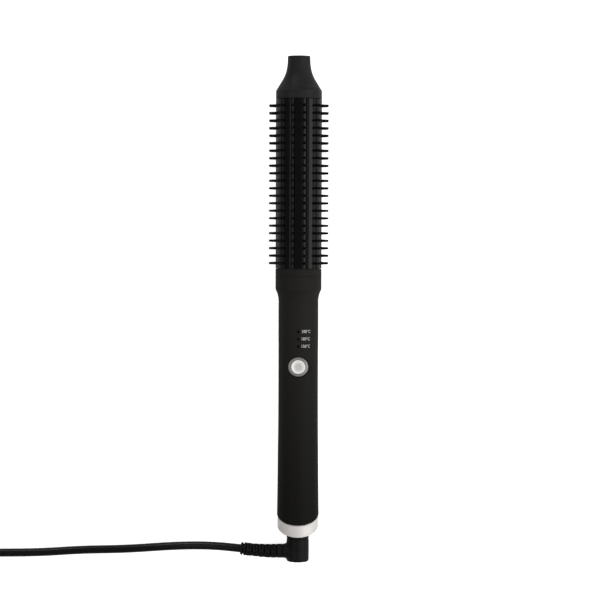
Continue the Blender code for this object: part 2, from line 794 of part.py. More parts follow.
def shell_shape(start):
    """Half of the handle's housing: collar, shoulder, slim grip and slanted end."""
    drop = BARREL_RADIUS - HANDLE_RADIUS
    outside = [
        (BARREL_RADIUS - EDGE, -HALF_GAP),
        (BARREL_RADIUS, -HALF_GAP - EDGE),
        (BARREL_RADIUS, SHOULDER_START),
    ]
    for along, share in SHOULDER_SHARES:
        outside.append((HANDLE_RADIUS + drop * share, SHOULDER_START - SHOULDER_LENGTH * along))
    for along, share in HANDLE_SHARES:
        outside.append((HANDLE_RADIUS * share, GRIP_START - HANDLE_LENGTH * along))
    end_radius = HANDLE_RADIUS * HANDLE_END_SHARE
    outside += [(end_radius, HANDLE_END + EDGE), (end_radius - EDGE, HANDLE_END + HALF_GAP)]
    barrier_end = -LIP_LENGTH - BARRIER_FLANGE - GAP
    inside = [
        (HANDLE_BORE, HANDLE_END + HALF_GAP),
        (HANDLE_BORE, GRIP_START),
        (COLLAR_BORE, barrier_end - GAP),
        (COLLAR_BORE, -LIP_LENGTH),
        (BARREL_BORE, -LIP_LENGTH),
        (BARREL_BORE, -HALF_GAP),
    ]
    half = lathe(outside + inside, ROUND_STEPS // 2, start, HALF_TURN)
    slanted(half, HANDLE_END + EDGE + WELD)
    side = 1 if start == 0 else -1
    for vert in half.verts:
        if abs(vert.co.y) < WELD:
            vert.co.y = side * HALF_GAP
    return half


def rib_stations(insets):
    """Places of a shell's two ribs, inwards from the ends of the board that they hold."""
    upper, lower = insets
    return BOARD_TOP - upper, BOARD_END + lower


def rib_shape(side, station, reach, tongue):
    """A rib across a half shell. It holds the board at a distance from the axis."""
    root = HANDLE_BORE + RIB_ROOT
    if tongue:
        rim = arc(root, math.asin(GAP / root), HALF_TURN - math.asin(GAP / root), SMALL_STEPS // 2)
        half = BOARD_WIDTH / 2 - RIB_TONGUE_INSET
        outline = [*rim, (-half, GAP), (-half, -reach), (half, -reach), (half, GAP)]
    else:
        corner = math.asin(reach / root)
        outline = arc(root, corner, HALF_TURN - corner, SMALL_STEPS // 2)
    outline = [(x, side * y) for x, y in outline]
    return extruded([outline], station - RIB_THICKNESS / 2, station + RIB_THICKNESS / 2)


def outward(shape, station=-BUTTON_STATION):
    """Turns a shape made round Z to stand outwards on the button's side of the brush."""
    return moved(shape, Matrix.Translation((0, 0, station)) @ Matrix.Rotation(QUARTER_TURN, 4, "X"))


def post(radius, low, high, steps=SMALL_STEPS):
    return lathe([(0, low), (radius, low), (radius, high), (0, high)], steps)


def seat_shape(foot):
    """A round pad inside the wall. Its top follows the wall's middle, so none of it shows."""
    outline = [(0, foot), (SEAT_RADIUS, foot), (SEAT_RADIUS, HANDLE_RADIUS), (0, HANDLE_RADIUS)]
    pad = lathe(outline, SMALL_STEPS, HALF_TURN / SMALL_STEPS)
    middle = (HANDLE_BORE + HANDLE_RADIUS) / 2
    for vert in pad.verts:
        if vert.co.z > foot + WELD:
            vert.co.z = math.sqrt(middle**2 - vert.co.x**2)
    return pad


def build_front_shell(look, brush):
    shell = piece("handle_front_shell", shell_shape(HALF_TURN), look, brush)
    pocket = BEZEL_RADIUS + POCKET_CLEARANCE
    above = HANDLE_RADIUS + OVERRUN
    seat_foot = POCKET_FLOOR - SEAT_THICKNESS
    combine(shell, "UNION", "button_seat", outward(seat_shape(seat_foot)))
    for name, station in zip(("upper", "lower"), rib_stations(FRONT_RIB_INSETS)):
        rib = rib_shape(-1, station, BOARD_FRONT + GAP, False)
        combine(shell, "UNION", f"front_{name}_rib", rib)
    hole = BEZEL_SPIGOT_RADIUS + GAP
    through = seat_foot - OVERRUN
    outline = [(0, through), (hole, through), (hole, POCKET_FLOOR), (pocket, POCKET_FLOOR)]
    outline += [(pocket, above), (0, above)]
    combine(shell, "DIFFERENCE", "bezel_pocket", outward(lathe(outline, ROUND_STEPS)))
    for index in range(LIGHT_COUNT):
        hole = post(PIN_RADIUS + GAP, through, above, TINY_STEPS)
        combine(shell, "DIFFERENCE", f"light_hole_{index + 1}", outward(hole, light_station(index)))


def build_rear_shell(look, brush):
    shell = piece("handle_rear_shell", shell_shape(0), look, brush)
    for name, station in zip(("upper", "lower"), rib_stations(REAR_RIB_INSETS)):
        rib = rib_shape(1, station, BOARD_BACK - GAP, True)
        combine(shell, "UNION", f"rear_{name}_rib", rib)


def slanted_end_ring_shape():
    """A short tube cut on a slant at both ends, chamfered where it meets the handle."""
    high = HANDLE_END - HALF_GAP
    low = END_RING_END
    ring = lathe(
        [
            (HANDLE_BORE, low),
            (END_RING_RADIUS - END_RING_EDGE, low),
            (END_RING_RADIUS, low + END_RING_EDGE),
            (END_RING_RADIUS, high - END_RING_EDGE),
            (END_RING_RADIUS - END_RING_EDGE, high),
            (HANDLE_BORE, high),
        ]
    )
    return slanted(ring, high + END_RING_LENGTH)


# Button, switch and lights


def bezel_shape():
    """A ring round the button. Its face slopes outwards, as the handle's side does."""
    bore = BUTTON_RADIUS + GAP
    return lathe(
        [
            (bore, BEZEL_FOOT),
            (BEZEL_SPIGOT_RADIUS, BEZEL_FOOT),
            (BEZEL_SPIGOT_RADIUS, BEZEL_SEAT),
            (BEZEL_RADIUS, BEZEL_SEAT),
            (BEZEL_RADIUS, BEZEL_TOP - BEZEL_SLOPE),
            (bore + BEZEL_LAND, BEZEL_TOP),
            (bore, BEZEL_TOP),
        ],
        ROUND_STEPS,
    )


def button_shape():
    return lathe(
        [
            (0, BUTTON_TOP),
            (BUTTON_RADIUS - BUTTON_EDGE, BUTTON_TOP),
            (BUTTON_RADIUS, BUTTON_TOP - BUTTON_EDGE),
            (BUTTON_RADIUS, BUTTON_FLANGE_TOP),
            (BUTTON_FLANGE_RADIUS, BUTTON_FLANGE_TOP),
            (BUTTON_FLANGE_RADIUS, BUTTON_FLANGE_FOOT),
            (STEM_RADIUS, BUTTON_FLANGE_FOOT),
            (STEM_RADIUS, BUTTON_FOOT),
            (0, BUTTON_FOOT),
        ],
        ROUND_STEPS,
    )


def build_button(looks, brush):
    """The cap and the switch's plunger, on an axis that points out of the handle."""
    axis = axis_empty("button_axis", (0, 0, -BUTTON_STATION), (QUARTER_TURN, 0, 0), brush)
    piece("button_bezel", bezel_shape(), looks["bezel"], axis)
    piece("power_button", button_shape(), looks["brushed"], axis)
    plunger = post(STEM_RADIUS, PLUNGER_FOOT, PLUNGER_TOP, TINY_STEPS)
    piece("switch_plunger", plunger, looks["switch"], axis)
    half = SWITCH_WIDTH / 2
    body = piece(
        "push_switch", block((-half, -half, SWITCH_FOOT), (half, half, SWITCH_TOP)), looks["dark"], axis
    )
    bore = post(STEM_RADIUS + GAP, SWITCH_BORE_FLOOR, SWITCH_TOP + OVERRUN, TINY_STEPS)
    combine(body, "DIFFERENCE", "plunger_bore", bore)


def light_station(index):
    return -LIGHT_FIRST - index * LIGHT_PITCH


def build_board(looks, brush):
    """The control board with its three lights, and the larger parts on its back."""
    half = BOARD_WIDTH / 2
    board = piece(
        "control_board",
        block((-half, -BOARD_FRONT, BOARD_END), (half, -BOARD_BACK, BOARD_TOP)),
        looks["board"],
        brush,
    )
    lights = []
    for index in range(LIGHT_COUNT):
        middle = light_station(index)
        low = (-LIGHT_SIZE / 2, -BOARD_FRONT - LIGHT_HEIGHT, middle - LIGHT_SIZE / 2)
        high = (LIGHT_SIZE / 2, -BOARD_FRONT + BOARD_THICKNESS / 2, middle + LIGHT_SIZE / 2)
        lights.append(block(low, high))
    combine(board, "UNION", "lights", merged(lights))
    back = GAP - BOARD_BACK
    wide, deep, long = TRIAC_SIZE
    low = (-wide / 2, back, TRIAC_TOP - long)
    triac = piece("triac", block(low, (wide / 2, back + deep, TRIAC_TOP)), looks["dark"], brush)
    tab_wide, tab_deep, tab_long = TRIAC_TAB
    tab_low = (-tab_wide / 2, back + deep - tab_deep, TRIAC_TOP - long / 2)
    tab_high = (tab_wide / 2, back + deep, TRIAC_TOP + tab_long)
    combine(triac, "UNION", "triac_tab", block(tab_low, tab_high))
    wide, deep, long = CAPACITOR_SIZE
    low = (-wide / 2, back, CAPACITOR_END)
    high = (wide / 2, back + deep, CAPACITOR_END + long)
    piece("film_capacitor", block(low, high), looks["capacitor"], brush)


def build_light_guide(look, brush):
    """A clear bar over the lights, with a pin up to each hole in the shell."""
    bar_foot = BOARD_FRONT + LIGHT_HEIGHT + GAP
    bar_top = bar_foot + GUIDE_THICKNESS
    half = GUIDE_WIDTH / 2
    low = (-half, -bar_top, light_station(LIGHT_COUNT - 1) - half)
    high = (half, -bar_foot, light_station(0) + half)
    guide = piece("light_guide", block(low, high), look, brush)
    pins = []
    for index in range(LIGHT_COUNT):
        top = HANDLE_RADIUS - PIN_SINK
        pin = post(PIN_RADIUS, bar_foot + GUIDE_THICKNESS / 2, top, TINY_STEPS)
        pins.append(outward(pin, light_station(index)))
    combine(guide, "UNION", "guide_pins", merged(pins))


# Swivel


def bush_shape():
    """The end bush: a cup for the contacts, a bearing for the spindle and a socket for the neck."""
    outer = HANDLE_BORE - GAP
    bearing = SPINDLE_RADIUS + GAP
    socket = NECK_RADIUS + GAP
    bush = lathe(
        [
            (outer, BUSH_TOP),
            (outer, BUSH_END),
            (socket, BUSH_END),
            (socket, NECK_TOP),
            (bearing, NECK_TOP),
            (bearing, BUSH_FLOOR_TOP),
            (BUSH_CUP_BORE, BUSH_FLOOR_TOP),
            (BUSH_CUP_BORE, BUSH_TOP),
        ]
    )
    return slanted(bush, BUSH_END + WELD)


def build_boot(look, axis):
    """Spindle, neck, body and side arm in one moulding, turned about the brush's axis."""
    body = lathe(
        [
            (0, CARRIER_END),
            (CARRIER_RADIUS, CARRIER_END),
            (CARRIER_RADIUS, CARRIER_START),
            (SPINDLE_RADIUS, CARRIER_START),
            (SPINDLE_RADIUS, CLIP_TOP + GAP),
            (GROOVE_RADIUS, CLIP_TOP + GAP),
            (GROOVE_RADIUS, CLIP_BOTTOM - GAP),
            (SPINDLE_RADIUS, CLIP_BOTTOM - GAP),
            (SPINDLE_RADIUS, NECK_TOP - GAP),
            (NECK_RADIUS, NECK_TOP - GAP),
            (NECK_RADIUS, BOOT_TOP),
            (BOOT_RADIUS, BOOT_TOP - EDGE),
            (BOOT_RADIUS, BOOT_END + BOOT_EDGE),
            (BOOT_RADIUS - BOOT_EDGE / 4, BOOT_END + BOOT_EDGE / 4),
            (BOOT_RADIUS - BOOT_EDGE, BOOT_END),
            (0, BOOT_END),
        ],
        ROUND_STEPS,
    )
    boot = piece("swivel_boot", body, look, axis)
    flare_start = BOOT_RADIUS - ARM_FLARE / 2
    arm = lathe(
        [
            (0, 0),
            (ARM_RADIUS + ARM_FLARE, 0),
            (ARM_RADIUS + ARM_FLARE, BOOT_RADIUS - ARM_FLARE),
            (ARM_RADIUS + ARM_FLARE / 3, flare_start),
            (ARM_RADIUS, BOOT_RADIUS + ARM_FLARE / 2),
            (ARM_RADIUS, ARM_REACH),
            (0, ARM_REACH),
        ],
        SMALL_STEPS,
    )
    sideways = Matrix.Translation((0, 0, ARM_STATION)) @ Matrix.Rotation(-QUARTER_TURN, 4, "Y")
    combine(boot, "UNION", "boot_arm", moved(arm, sideways))


def build_swivel_fittings(looks, axis):
    """The clip in the spindle's groove and the two slip rings above it."""
    clip = lathe(
        [
            (GROOVE_RADIUS + GAP, CLIP_BOTTOM),
            (CLIP_RADIUS, CLIP_BOTTOM),
            (CLIP_RADIUS, CLIP_TOP),
            (GROOVE_RADIUS + GAP, CLIP_TOP),
        ],
        SMALL_STEPS,
        CLIP_OPENING / 2,
        FULL_TURN - CLIP_OPENING,
    )
    piece("swivel_clip", clip, looks["steel"], axis)
    for name, start in (("slip_ring_neutral", NEUTRAL_RING_START), ("slip_ring_live", LIVE_RING_START)):
        ring = lathe(
            [
                (CARRIER_RADIUS + GAP, start),
                (SLIP_RING_RADIUS, start),
                (SLIP_RING_RADIUS, start + SLIP_RING_LENGTH),
                (CARRIER_RADIUS + GAP, start + SLIP_RING_LENGTH),
            ],
            SMALL_STEPS,
        )
        piece(name, ring, looks["brass"], axis)


def spring_shape(side, ring_start):
    """A leaf on the cup's wall, bent inwards to touch its slip ring."""
    wall = BUSH_CUP_BORE - SPRING_INSET
    touch = SLIP_RING_RADIUS + GAP + SPRING_THICKNESS
    middle = ring_start + SLIP_RING_LENGTH / 2
    bend = SPRING_TOUCH + SPRING_BEND
    back = [
        (wall, BUSH_TOP + SPRING_RISE),
        (wall, middle + bend),
        (touch, middle + SPRING_TOUCH),
        (touch, middle - SPRING_TOUCH),
        (wall, middle - bend),
    ]
    front = [(r - SPRING_THICKNESS, z) for r, z in reversed(back)]
    leaf = extruded([back + front], -SPRING_WIDTH / 2, SPRING_WIDTH / 2)
    upright = Matrix.Rotation(QUARTER_TURN, 4, "X")
    turn = Matrix.Rotation(0 if side > 0 else HALF_TURN, 4, "Z")
    return moved(leaf, turn @ upright)


def build_wires(looks, brush):
    """Two wires from the heater to the board, and two from the contacts to the board."""
    beside_board = GAP + WIRE_RADIUS - BOARD_BACK
    board_in = BOARD_TOP - WIRE_OVERLAP
    board_out = BOARD_END + WIRE_OVERLAP
    terminal = HEATER_START - TERMINAL_LENGTH - GAP
    barrier_out = -LIP_LENGTH - BARRIER_FLANGE - OVERRUN
    contact = BUSH_TOP + SPRING_RISE + GAP
    contact_reach = BUSH_CUP_BORE - SPRING_INSET - SPRING_THICKNESS / 2
    for side, name, look in ((1, "live", looks["wire_live"]), (-1, "neutral", looks["wire_neutral"])):
        upper = [
            (side * TERMINAL_OFFSET, 0, terminal),
            (side * TERMINAL_OFFSET, 0, 0),
            (side * TERMINAL_OFFSET, 0, barrier_out),
            (side * WIRE_SPREAD, beside_board, BOARD_TOP + WIRE_OVERLAP / 2),
            (side * WIRE_SPREAD, beside_board, board_in),
        ]
        tube(f"heater_lead_{name}", smooth_line(upper, WIRE_STEP), WIRE_RADIUS, look, 1, brush)
        lower = [
            (side * contact_reach, 0, contact),
            (side * contact_reach, 0, contact + WIRE_OVERLAP / 2),
            (side * WIRE_SPREAD * 2, beside_board, BOARD_END - WIRE_OVERLAP / 2),
            (side * WIRE_SPREAD * 2, beside_board, board_out),
        ]
        tube(f"supply_lead_{name}", smooth_line(lower, WIRE_STEP), WIRE_RADIUS, look, 1, brush)


# Cord, its strain relief, coil, tie and plug


def cord_line():
    """The centre of strain relief and cord, from the boot's arm to the coil."""
    arm_end = world_place(-ARM_REACH - GAP, 0, ARM_STATION)
    route = [tuple(arm_end)] + [tuple(c * MM for c in place) for place in CORD_ROUTE_MM]
    return smooth_line(route, CORD_RADIUS / 4)


def build_relief(look, line):
    """A tapered sleeve with ribs, each with sloping flanks."""
    pitch = RELIEF_LENGTH / RELIEF_RIBS
    places = []
    radii = []
    for index in range(RELIEF_RIBS):
        shares = (0, RIB_SLOPE_SHARE, RIB_SHARE - RIB_SLOPE_SHARE, RIB_SHARE)
        for share, raised in zip(shares, (False, True, True, False)):
            at = (index + share) * pitch
            radius = RELIEF_START_RADIUS - RELIEF_TAPER * at / RELIEF_LENGTH
            places.append(at)
            radii.append(radius if raised else radius - RELIEF_GROOVE)
    places.append(RELIEF_LENGTH)
    radii.append(RELIEF_END_RADIUS - RELIEF_GROOVE / 2)
    along = lengths_along(line)
    points = [[float(np.interp(at, along, line[:, k])) for k in range(3)] for at in places]
    tube("strain_relief", points, RELIEF_START_RADIUS, look, 3, radii=radii)


def coil_radius(turn):
    return COIL_INNER + TURN_PITCH * abs(COIL_TURNS / 2 - turn)


def coil_height(turn):
    climb = (turn - COIL_TURNS / 2) / CLIMB_TURNS + 0.5
    climb = min(max(climb, 0), 1)
    return COIL_BASE + LAYER_PITCH * climb**2 * (3 - 2 * climb)


def coil_place(turn):
    """A point on the coil, which runs clockwise from its lower side."""
    angle = -QUARTER_TURN - turn * FULL_TURN
    radius = coil_radius(turn)
    return (COIL_X + radius * math.cos(angle), COIL_Y + radius * math.sin(angle), coil_height(turn))


def coil_line():
    """The coil's centre: a straight start, the turns, and a tail that sinks to the plug."""
    start = (COIL_X + CORD_DIAMETER, COIL_Y - COIL_OUTER, COIL_BASE)
    count = round(COIL_TURNS * TURN_POINTS)
    turns = [coil_place(index / TURN_POINTS) for index in range(count + 1)]
    x, y, high = turns[-1]
    low = PLUG_HEIGHT / 2
    tail = []
    for index in range(1, TAIL_POINTS + 1):
        share = index / TAIL_POINTS
        sunk = (share - TAIL_LEVEL_SHARE) / (1 - 2 * TAIL_LEVEL_SHARE)
        sunk = min(max(sunk, 0), 1)
        tail.append((x, y + TAIL_LENGTH * share, high + (low - high) * sunk**2 * (3 - 2 * sunk)))
    return np.array([start, *turns, *tail])


def least_gap(line, skip):
    """The least space between turns of a tube, on points at equal steps along it."""
    points = resampled(line, CORD_RADIUS / 2)
    near = round(skip / (CORD_RADIUS / 2))
    least = np.inf
    for index in range(len(points) - near):
        away = np.linalg.norm(points[index + near :] - points[index], axis=1)
        least = min(least, float(away.min()))
    return least - CORD_DIAMETER


def build_cord(look):
    line = cord_line()
    whole = float(lengths_along(line)[-1])
    start = RELIEF_LENGTH + GAP
    end = whole - (COIL_X + CORD_DIAMETER + GAP - CORD_ROUTE_MM[-1][0] * MM)
    lead = resampled(line, CORD_STEP, start, end)
    lead[-2][1:] = lead[-1][1:]
    tube("cord_lead", lead, CORD_RADIUS, look, 2)
    coil = coil_line()
    tube("cord_coil", coil, CORD_RADIUS, look, 1)
    free = float(lengths_along(lead)[-1])
    wound = float(lengths_along(coil)[-1])
    print(f"cord: {free:.4f} m free and {wound:.4f} m wound, {free + wound:.3f} m in all")
    print(f"least gap between the coil's turns: {least_gap(coil, COIL_INNER) / MM:.2f} mm")
    return line


def rounded_loop(low, high, corner):
    """A rectangle of (x, y) points with round corners."""
    centres = (
        (high[0] - corner, high[1] - corner, 0),
        (low[0] + corner, high[1] - corner, 1),
        (low[0] + corner, low[1] + corner, 2),
        (high[0] - corner, low[1] + corner, 3),
    )
    loop = []
    for x, y, quarter in centres:
        loop += arc(corner, quarter * QUARTER_TURN, (quarter + 1) * QUARTER_TURN, CORNER_STEPS, (x, y))
    return loop


def build_tie(look):
    """A flat band round all turns of the coil at one place."""
    first = (-QUARTER_TURN - TIE_ANGLE) % FULL_TURN / FULL_TURN
    turns = [first + k for k in range(math.ceil(COIL_TURNS)) if first + k <= COIL_TURNS]
    radii = [coil_radius(turn) for turn in turns]
    inner = min(radii)
    bow = inner - math.sqrt(inner**2 - (TIE_WIDTH / 2) ** 2)
    low = (inner - bow - CORD_RADIUS - GAP, TIE_THICKNESS)
    high = (max(radii) + CORD_RADIUS + GAP, COIL_BASE + LAYER_PITCH + CORD_RADIUS + GAP)
    hole = rounded_loop(low, high, CORD_RADIUS + GAP)
    outer_low = (low[0] - TIE_THICKNESS, low[1] - TIE_THICKNESS)
    outer_high = (high[0] + TIE_THICKNESS, high[1] + TIE_THICKNESS)
    outline = rounded_loop(outer_low, outer_high, CORD_RADIUS + GAP + TIE_THICKNESS)
    band = extruded([outline, hole], -TIE_WIDTH / 2, TIE_WIDTH / 2)
    upright = Matrix.Rotation(QUARTER_TURN, 4, "X")
    turn = Matrix.Rotation(TIE_ANGLE, 4, "Z")
    piece("cord_tie", moved(band, Matrix.Translation((COIL_X, COIL_Y, 0)) @ turn @ upright), look)


def plug_section(width, height, station):
    """A rounded oblong across the plug."""
    ring = []
    for index in range(PLUG_STEPS):
        angle = (index + 0.5) * FULL_TURN / PLUG_STEPS
        c, s = math.cos(angle), math.sin(angle)
        x = math.copysign(abs(c) ** (2 / SECTION_POWER), c) * width / 2
        z = math.copysign(abs(s) ** (2 / SECTION_POWER), s) * height / 2
        ring.append((x, station, z))
    return ring


def build_plug(looks):
    """A flat two-pin plug that lies on the table past the coil's tail."""
    x, y, z = coil_line()[-1]
    start = y + GAP
    shape = bmesh.new()
    rings = []
    for length, width, height in PLUG_SHARES:
        ring = plug_section(PLUG_WIDTH * width, PLUG_HEIGHT * height, PLUG_LENGTH * length)
        rings.append([shape.verts.new(place) for place in ring])
    for lower, upper in zip(rings, rings[1:]):
        for k in range(PLUG_STEPS):
            n = (k + 1) % PLUG_STEPS
            shape.faces.new((lower[k], lower[n], upper[n], upper[k]))
    shape.faces.new(rings[0])
    shape.faces.new(rings[-1])
    drop = plug_drop()
    moved(shape, Matrix.Translation((x, start, drop)))
    plug = piece("plug_body", shape, looks["plug"])
    face = start + PLUG_LENGTH
    forward = Matrix.Rotation(-QUARTER_TURN, 4, "X")
    sockets = []
    for side, name in ((-1, "neutral"), (1, "live")):
        across = x + side * PLUG_PIN_SPACING / 2
        pin_start = face - PLUG_SOCKET_DEPTH + GAP
        pin = lathe(
            [
                (0, 0),
                (PLUG_PIN_RADIUS, 0),
                (PLUG_PIN_RADIUS, PLUG_PIN_LENGTH - PLUG_PIN_RADIUS / 2),
                (PLUG_PIN_RADIUS / 2, PLUG_PIN_LENGTH),
                (0, PLUG_PIN_LENGTH),
            ],
            TINY_STEPS,
        )
        moved(pin, Matrix.Translation((across, pin_start, z)) @ forward)
        piece(f"plug_pin_{name}", pin, looks["brass"])
        socket = post(PLUG_PIN_RADIUS + GAP, -PLUG_SOCKET_DEPTH, OVERRUN, TINY_STEPS)
        sockets.append(moved(socket, Matrix.Translation((across, face, z)) @ forward))
    combine(plug, "DIFFERENCE", "pin_sockets", merged(sockets))


def plug_drop():
    """The height of the plug's middle, with its widest sections down on the table."""
    return -min(place[2] for place in plug_section(PLUG_WIDTH, PLUG_HEIGHT, 0))


# The whole brush


def finishes():
    return {
        "barrel": finish("gloss_black_coating", (0.012, 0.012, 0.012), 0.18),
        "comb": finish("black_bristle_nylon", (0.018, 0.018, 0.018), 0.42),
        "soft": finish("soft_touch_black", (0.02, 0.02, 0.018), 0.55),
        "tip": finish("satin_black_plastic", (0.024, 0.022, 0.023), 0.5),
        "brushed": finish("brushed_aluminium", (0.62, 0.6, 0.58), 0.35, 1.0),
        "bezel": finish("grey_satin_metal", (0.3, 0.29, 0.28), 0.4, 1.0),
        "aluminium": finish("bare_aluminium", (0.6, 0.6, 0.61), 0.45, 1.0),
        "ceramic": finish("heater_film", (0.55, 0.35, 0.12), 0.5),
        "barrier": finish("heat_resistant_plastic", (0.05, 0.045, 0.04), 0.6),
        "sensor": finish("sensor_coating", (0.45, 0.42, 0.35), 0.5),
        "board": finish("green_board", (0.02, 0.16, 0.06), 0.5),
        "dark": finish("component_black", (0.03, 0.03, 0.03), 0.5),
        "capacitor": finish("capacitor_yellow", (0.6, 0.45, 0.06), 0.5),
        "switch": finish("switch_white", (0.7, 0.7, 0.68), 0.5),
        "clear": finish("smoked_clear_plastic", (0.05, 0.05, 0.05), 0.2),
        "brass": finish("brass", (0.7, 0.52, 0.2), 0.3, 1.0),
        "steel": finish("spring_steel", (0.5, 0.5, 0.5), 0.35, 1.0),
        "rubber": finish("black_cord_plastic", (0.018, 0.018, 0.017), 0.5),
        "tie": finish("black_hook_and_loop", (0.015, 0.015, 0.015), 0.9),
        "plug": finish("black_plug_plastic", (0.02, 0.02, 0.02), 0.5),
        "wire_live": finish("brown_wire", (0.2, 0.07, 0.02), 0.5),
        "wire_neutral": finish("blue_wire", (0.02, 0.08, 0.4), 0.5),
    }


def build_heated_end(looks, brush):
    piece("barrel", barrel_shape(), looks["barrel"], brush)
    comb = comb_mesh()
    for index in range(COMB_COUNT):
        piece(f"bristle_comb_{index + 1:02d}", comb, looks["comb"], brush, (0, 0, slot_angle(index)))
    piece("lower_end_ring", lower_ring_shape(), looks["tip"], brush)
    piece("upper_end_ring", upper_ring_shape(), looks["tip"], brush)
    piece("cool_tip", cool_tip_shape(), looks["tip"], brush)
    spreader = mesh_from("spreader", spreader_shape())
    piece("heat_spreader_rear", spreader, looks["aluminium"], brush)
    piece("heat_spreader_front", spreader, looks["aluminium"], brush, (0, 0, HALF_TURN))
    piece("heater_plate", heater_shape(), looks["ceramic"], brush)
    piece("thermistor", sensor_shape(1), looks["sensor"], brush)
    piece("thermal_fuse", sensor_shape(-1), looks["steel"], brush)
    piece("heat_barrier", heat_barrier_shape(), looks["barrier"], brush)


def build_handle(looks, brush):
    build_front_shell(looks["soft"], brush)
    build_rear_shell(looks["soft"], brush)
    piece("slanted_end_ring", slanted_end_ring_shape(), looks["brushed"], brush)
    build_button(looks, brush)
    build_board(looks, brush)
    build_light_guide(looks["clear"], brush)
    piece("end_bush", bush_shape(), looks["dark"], brush)
    piece("contact_spring_live", spring_shape(1, LIVE_RING_START), looks["brass"], brush)
    piece("contact_spring_neutral", spring_shape(-1, NEUTRAL_RING_START), looks["brass"], brush)
    build_wires(looks, brush)


def build_swivel(looks, brush):
    axis = axis_empty("swivel_axis", parent=brush)
    build_boot(looks["rubber"], axis)
    build_swivel_fittings(looks, axis)


def main():
    clear_scene()
    looks = finishes()
    brush = axis_empty("brush", BRUSH_PLACE, BRUSH_TURN)
    build_heated_end(looks, brush)
    build_handle(looks, brush)
    build_swivel(looks, brush)
    line = build_cord(looks["rubber"])
    build_relief(looks["rubber"], line)
    build_tie(looks["tie"])
    build_plug(looks)


main()
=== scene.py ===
"""Looks of the round hot brush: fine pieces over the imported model, finishes, light and camera.

Pieces are drawn in the brush's own frame, in millimetres: x across it, u along it from the joint
between collar and lower ring towards the cool tip, and h up towards the button. LAY puts that
frame where the brush lies on its bristles. The cord and the plug are drawn in the world.
"""

import math

import bmesh
import bpy
from mathutils import Matrix, Vector


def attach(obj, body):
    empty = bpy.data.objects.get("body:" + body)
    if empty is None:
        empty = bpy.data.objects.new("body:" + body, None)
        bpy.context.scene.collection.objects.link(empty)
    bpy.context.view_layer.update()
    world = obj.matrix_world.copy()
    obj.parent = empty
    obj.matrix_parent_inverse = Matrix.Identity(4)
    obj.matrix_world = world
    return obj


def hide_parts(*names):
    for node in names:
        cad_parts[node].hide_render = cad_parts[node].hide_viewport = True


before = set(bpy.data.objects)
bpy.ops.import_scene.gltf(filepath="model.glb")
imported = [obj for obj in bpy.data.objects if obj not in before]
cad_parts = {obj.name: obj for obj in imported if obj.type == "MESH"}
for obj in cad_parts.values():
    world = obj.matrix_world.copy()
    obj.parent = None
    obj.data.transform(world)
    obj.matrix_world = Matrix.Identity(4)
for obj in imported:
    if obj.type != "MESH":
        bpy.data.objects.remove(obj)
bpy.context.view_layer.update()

MM = 0.001
FULL = math.tau
QUARTER = math.tau / 4
SCALE = Matrix.Scale(MM, 4)
TILT = math.radians(2.1013014)
ORIGIN = Vector((0, 0.02353715, 0.02039648))
LAY = Matrix.Translation(ORIGIN) @ Matrix.Rotation(TILT, 4, "X") @ SCALE
GAP = 0.3
HALF_GAP = 0.15
SEAM = 0.05
ROUND = 96

# Heated end
BARREL_RADIUS = 16.0
BARREL_BORE = 12.0
BARREL_START = 5.2
BARREL_END = 122.7
TIP_FOOT = 128.45
TIP_SEAM = 129.65
TIP_TOP = 152.6
TIP_END_RADIUS = 7.8
TIP_SHARES = (
    (0.975, 0.0), (0.81, 0.021), (0.69, 0.057), (0.575, 0.122), (0.46, 0.228), (0.345, 0.39),
    (0.23, 0.588), (0.115, 0.793),
)
SPIGOT_RADIUS = 11.7
SPIGOT_BORE = 9.7
COMBS = 12
SLOT_MOUTH = 1.25
SLOT_OUTLINE = ((-1.25, 14.6), (-1.9, 14.6), (-1.9, 13.1), (1.9, 13.1), (1.9, 14.6), (1.25, 14.6))
LIP_ROUND = ((0.0, 0.22), (0.006, 0.06), (0.014, 0.0))
STRIP_OUTLINE = (
    (-0.95, 15.55), (-0.8, 15.74), (-0.4, 15.79), (0, 15.8), (0.4, 15.79), (0.8, 15.74),
    (0.95, 15.55), (0.95, 14.3), (1.6, 14.3), (1.6, 13.4), (-1.6, 13.4), (-1.6, 14.3), (-0.95, 14.3),
)
BRISTLES = 22
BRISTLE_PITCH = 5.2
FIRST_BRISTLE = 8.9
BRISTLE_REACH = 21.3
BRISTLE_LENGTH = 5.5

# Handle
HANDLE_RADIUS = 13.83
HANDLE_BORE = 11.6
COLLAR_BORE = 13.8
SHOULDER_START = -9.1
SHOULDER_LENGTH = 8.7
SHOULDER_SHARES = ((0.12, 0.81), (0.28, 0.53), (0.44, 0.30), (0.60, 0.15), (0.80, 0.06))
GRIP_START = -17.8
HANDLE_END = -166.4
HANDLE_LENGTH = 148.6
HANDLE_END_RADIUS = HANDLE_RADIUS * 1.053
GRIP_SHARES = (
    (0.0, 1.003), (0.14, 1.003), (0.28, 0.997), (0.56, 1.003), (0.70, 1.017), (0.80, 1.0245),
    (0.93, 1.041),
)
END_RING_END = -175.05
END_RING_RADIUS = 14.13
SLANT = math.tan(math.radians(24.5))
DIAMOND_WIDTH = 5.6
DIAMOND_LENGTH = 9.4
GRIP_TEXTURE = (-105, -111)
BUTTON_PLACE = -62.75
BUTTON_RADIUS = 4.95
BUTTON_DISH = (
    (0, 12.80), (0.8, 12.802), (1.6, 12.812), (2.4, 12.835), (3.1, 12.87), (3.7, 12.91), (4.1, 12.95),
)
LIGHT_PLACES = (-38.3, -43.4, -48.5)
PRINT_HEIGHT = 2.02
PRINT_LEFT = 2.4
CAPITAL_SHARE = 0.69
LETTER_WIDTH = 0.86

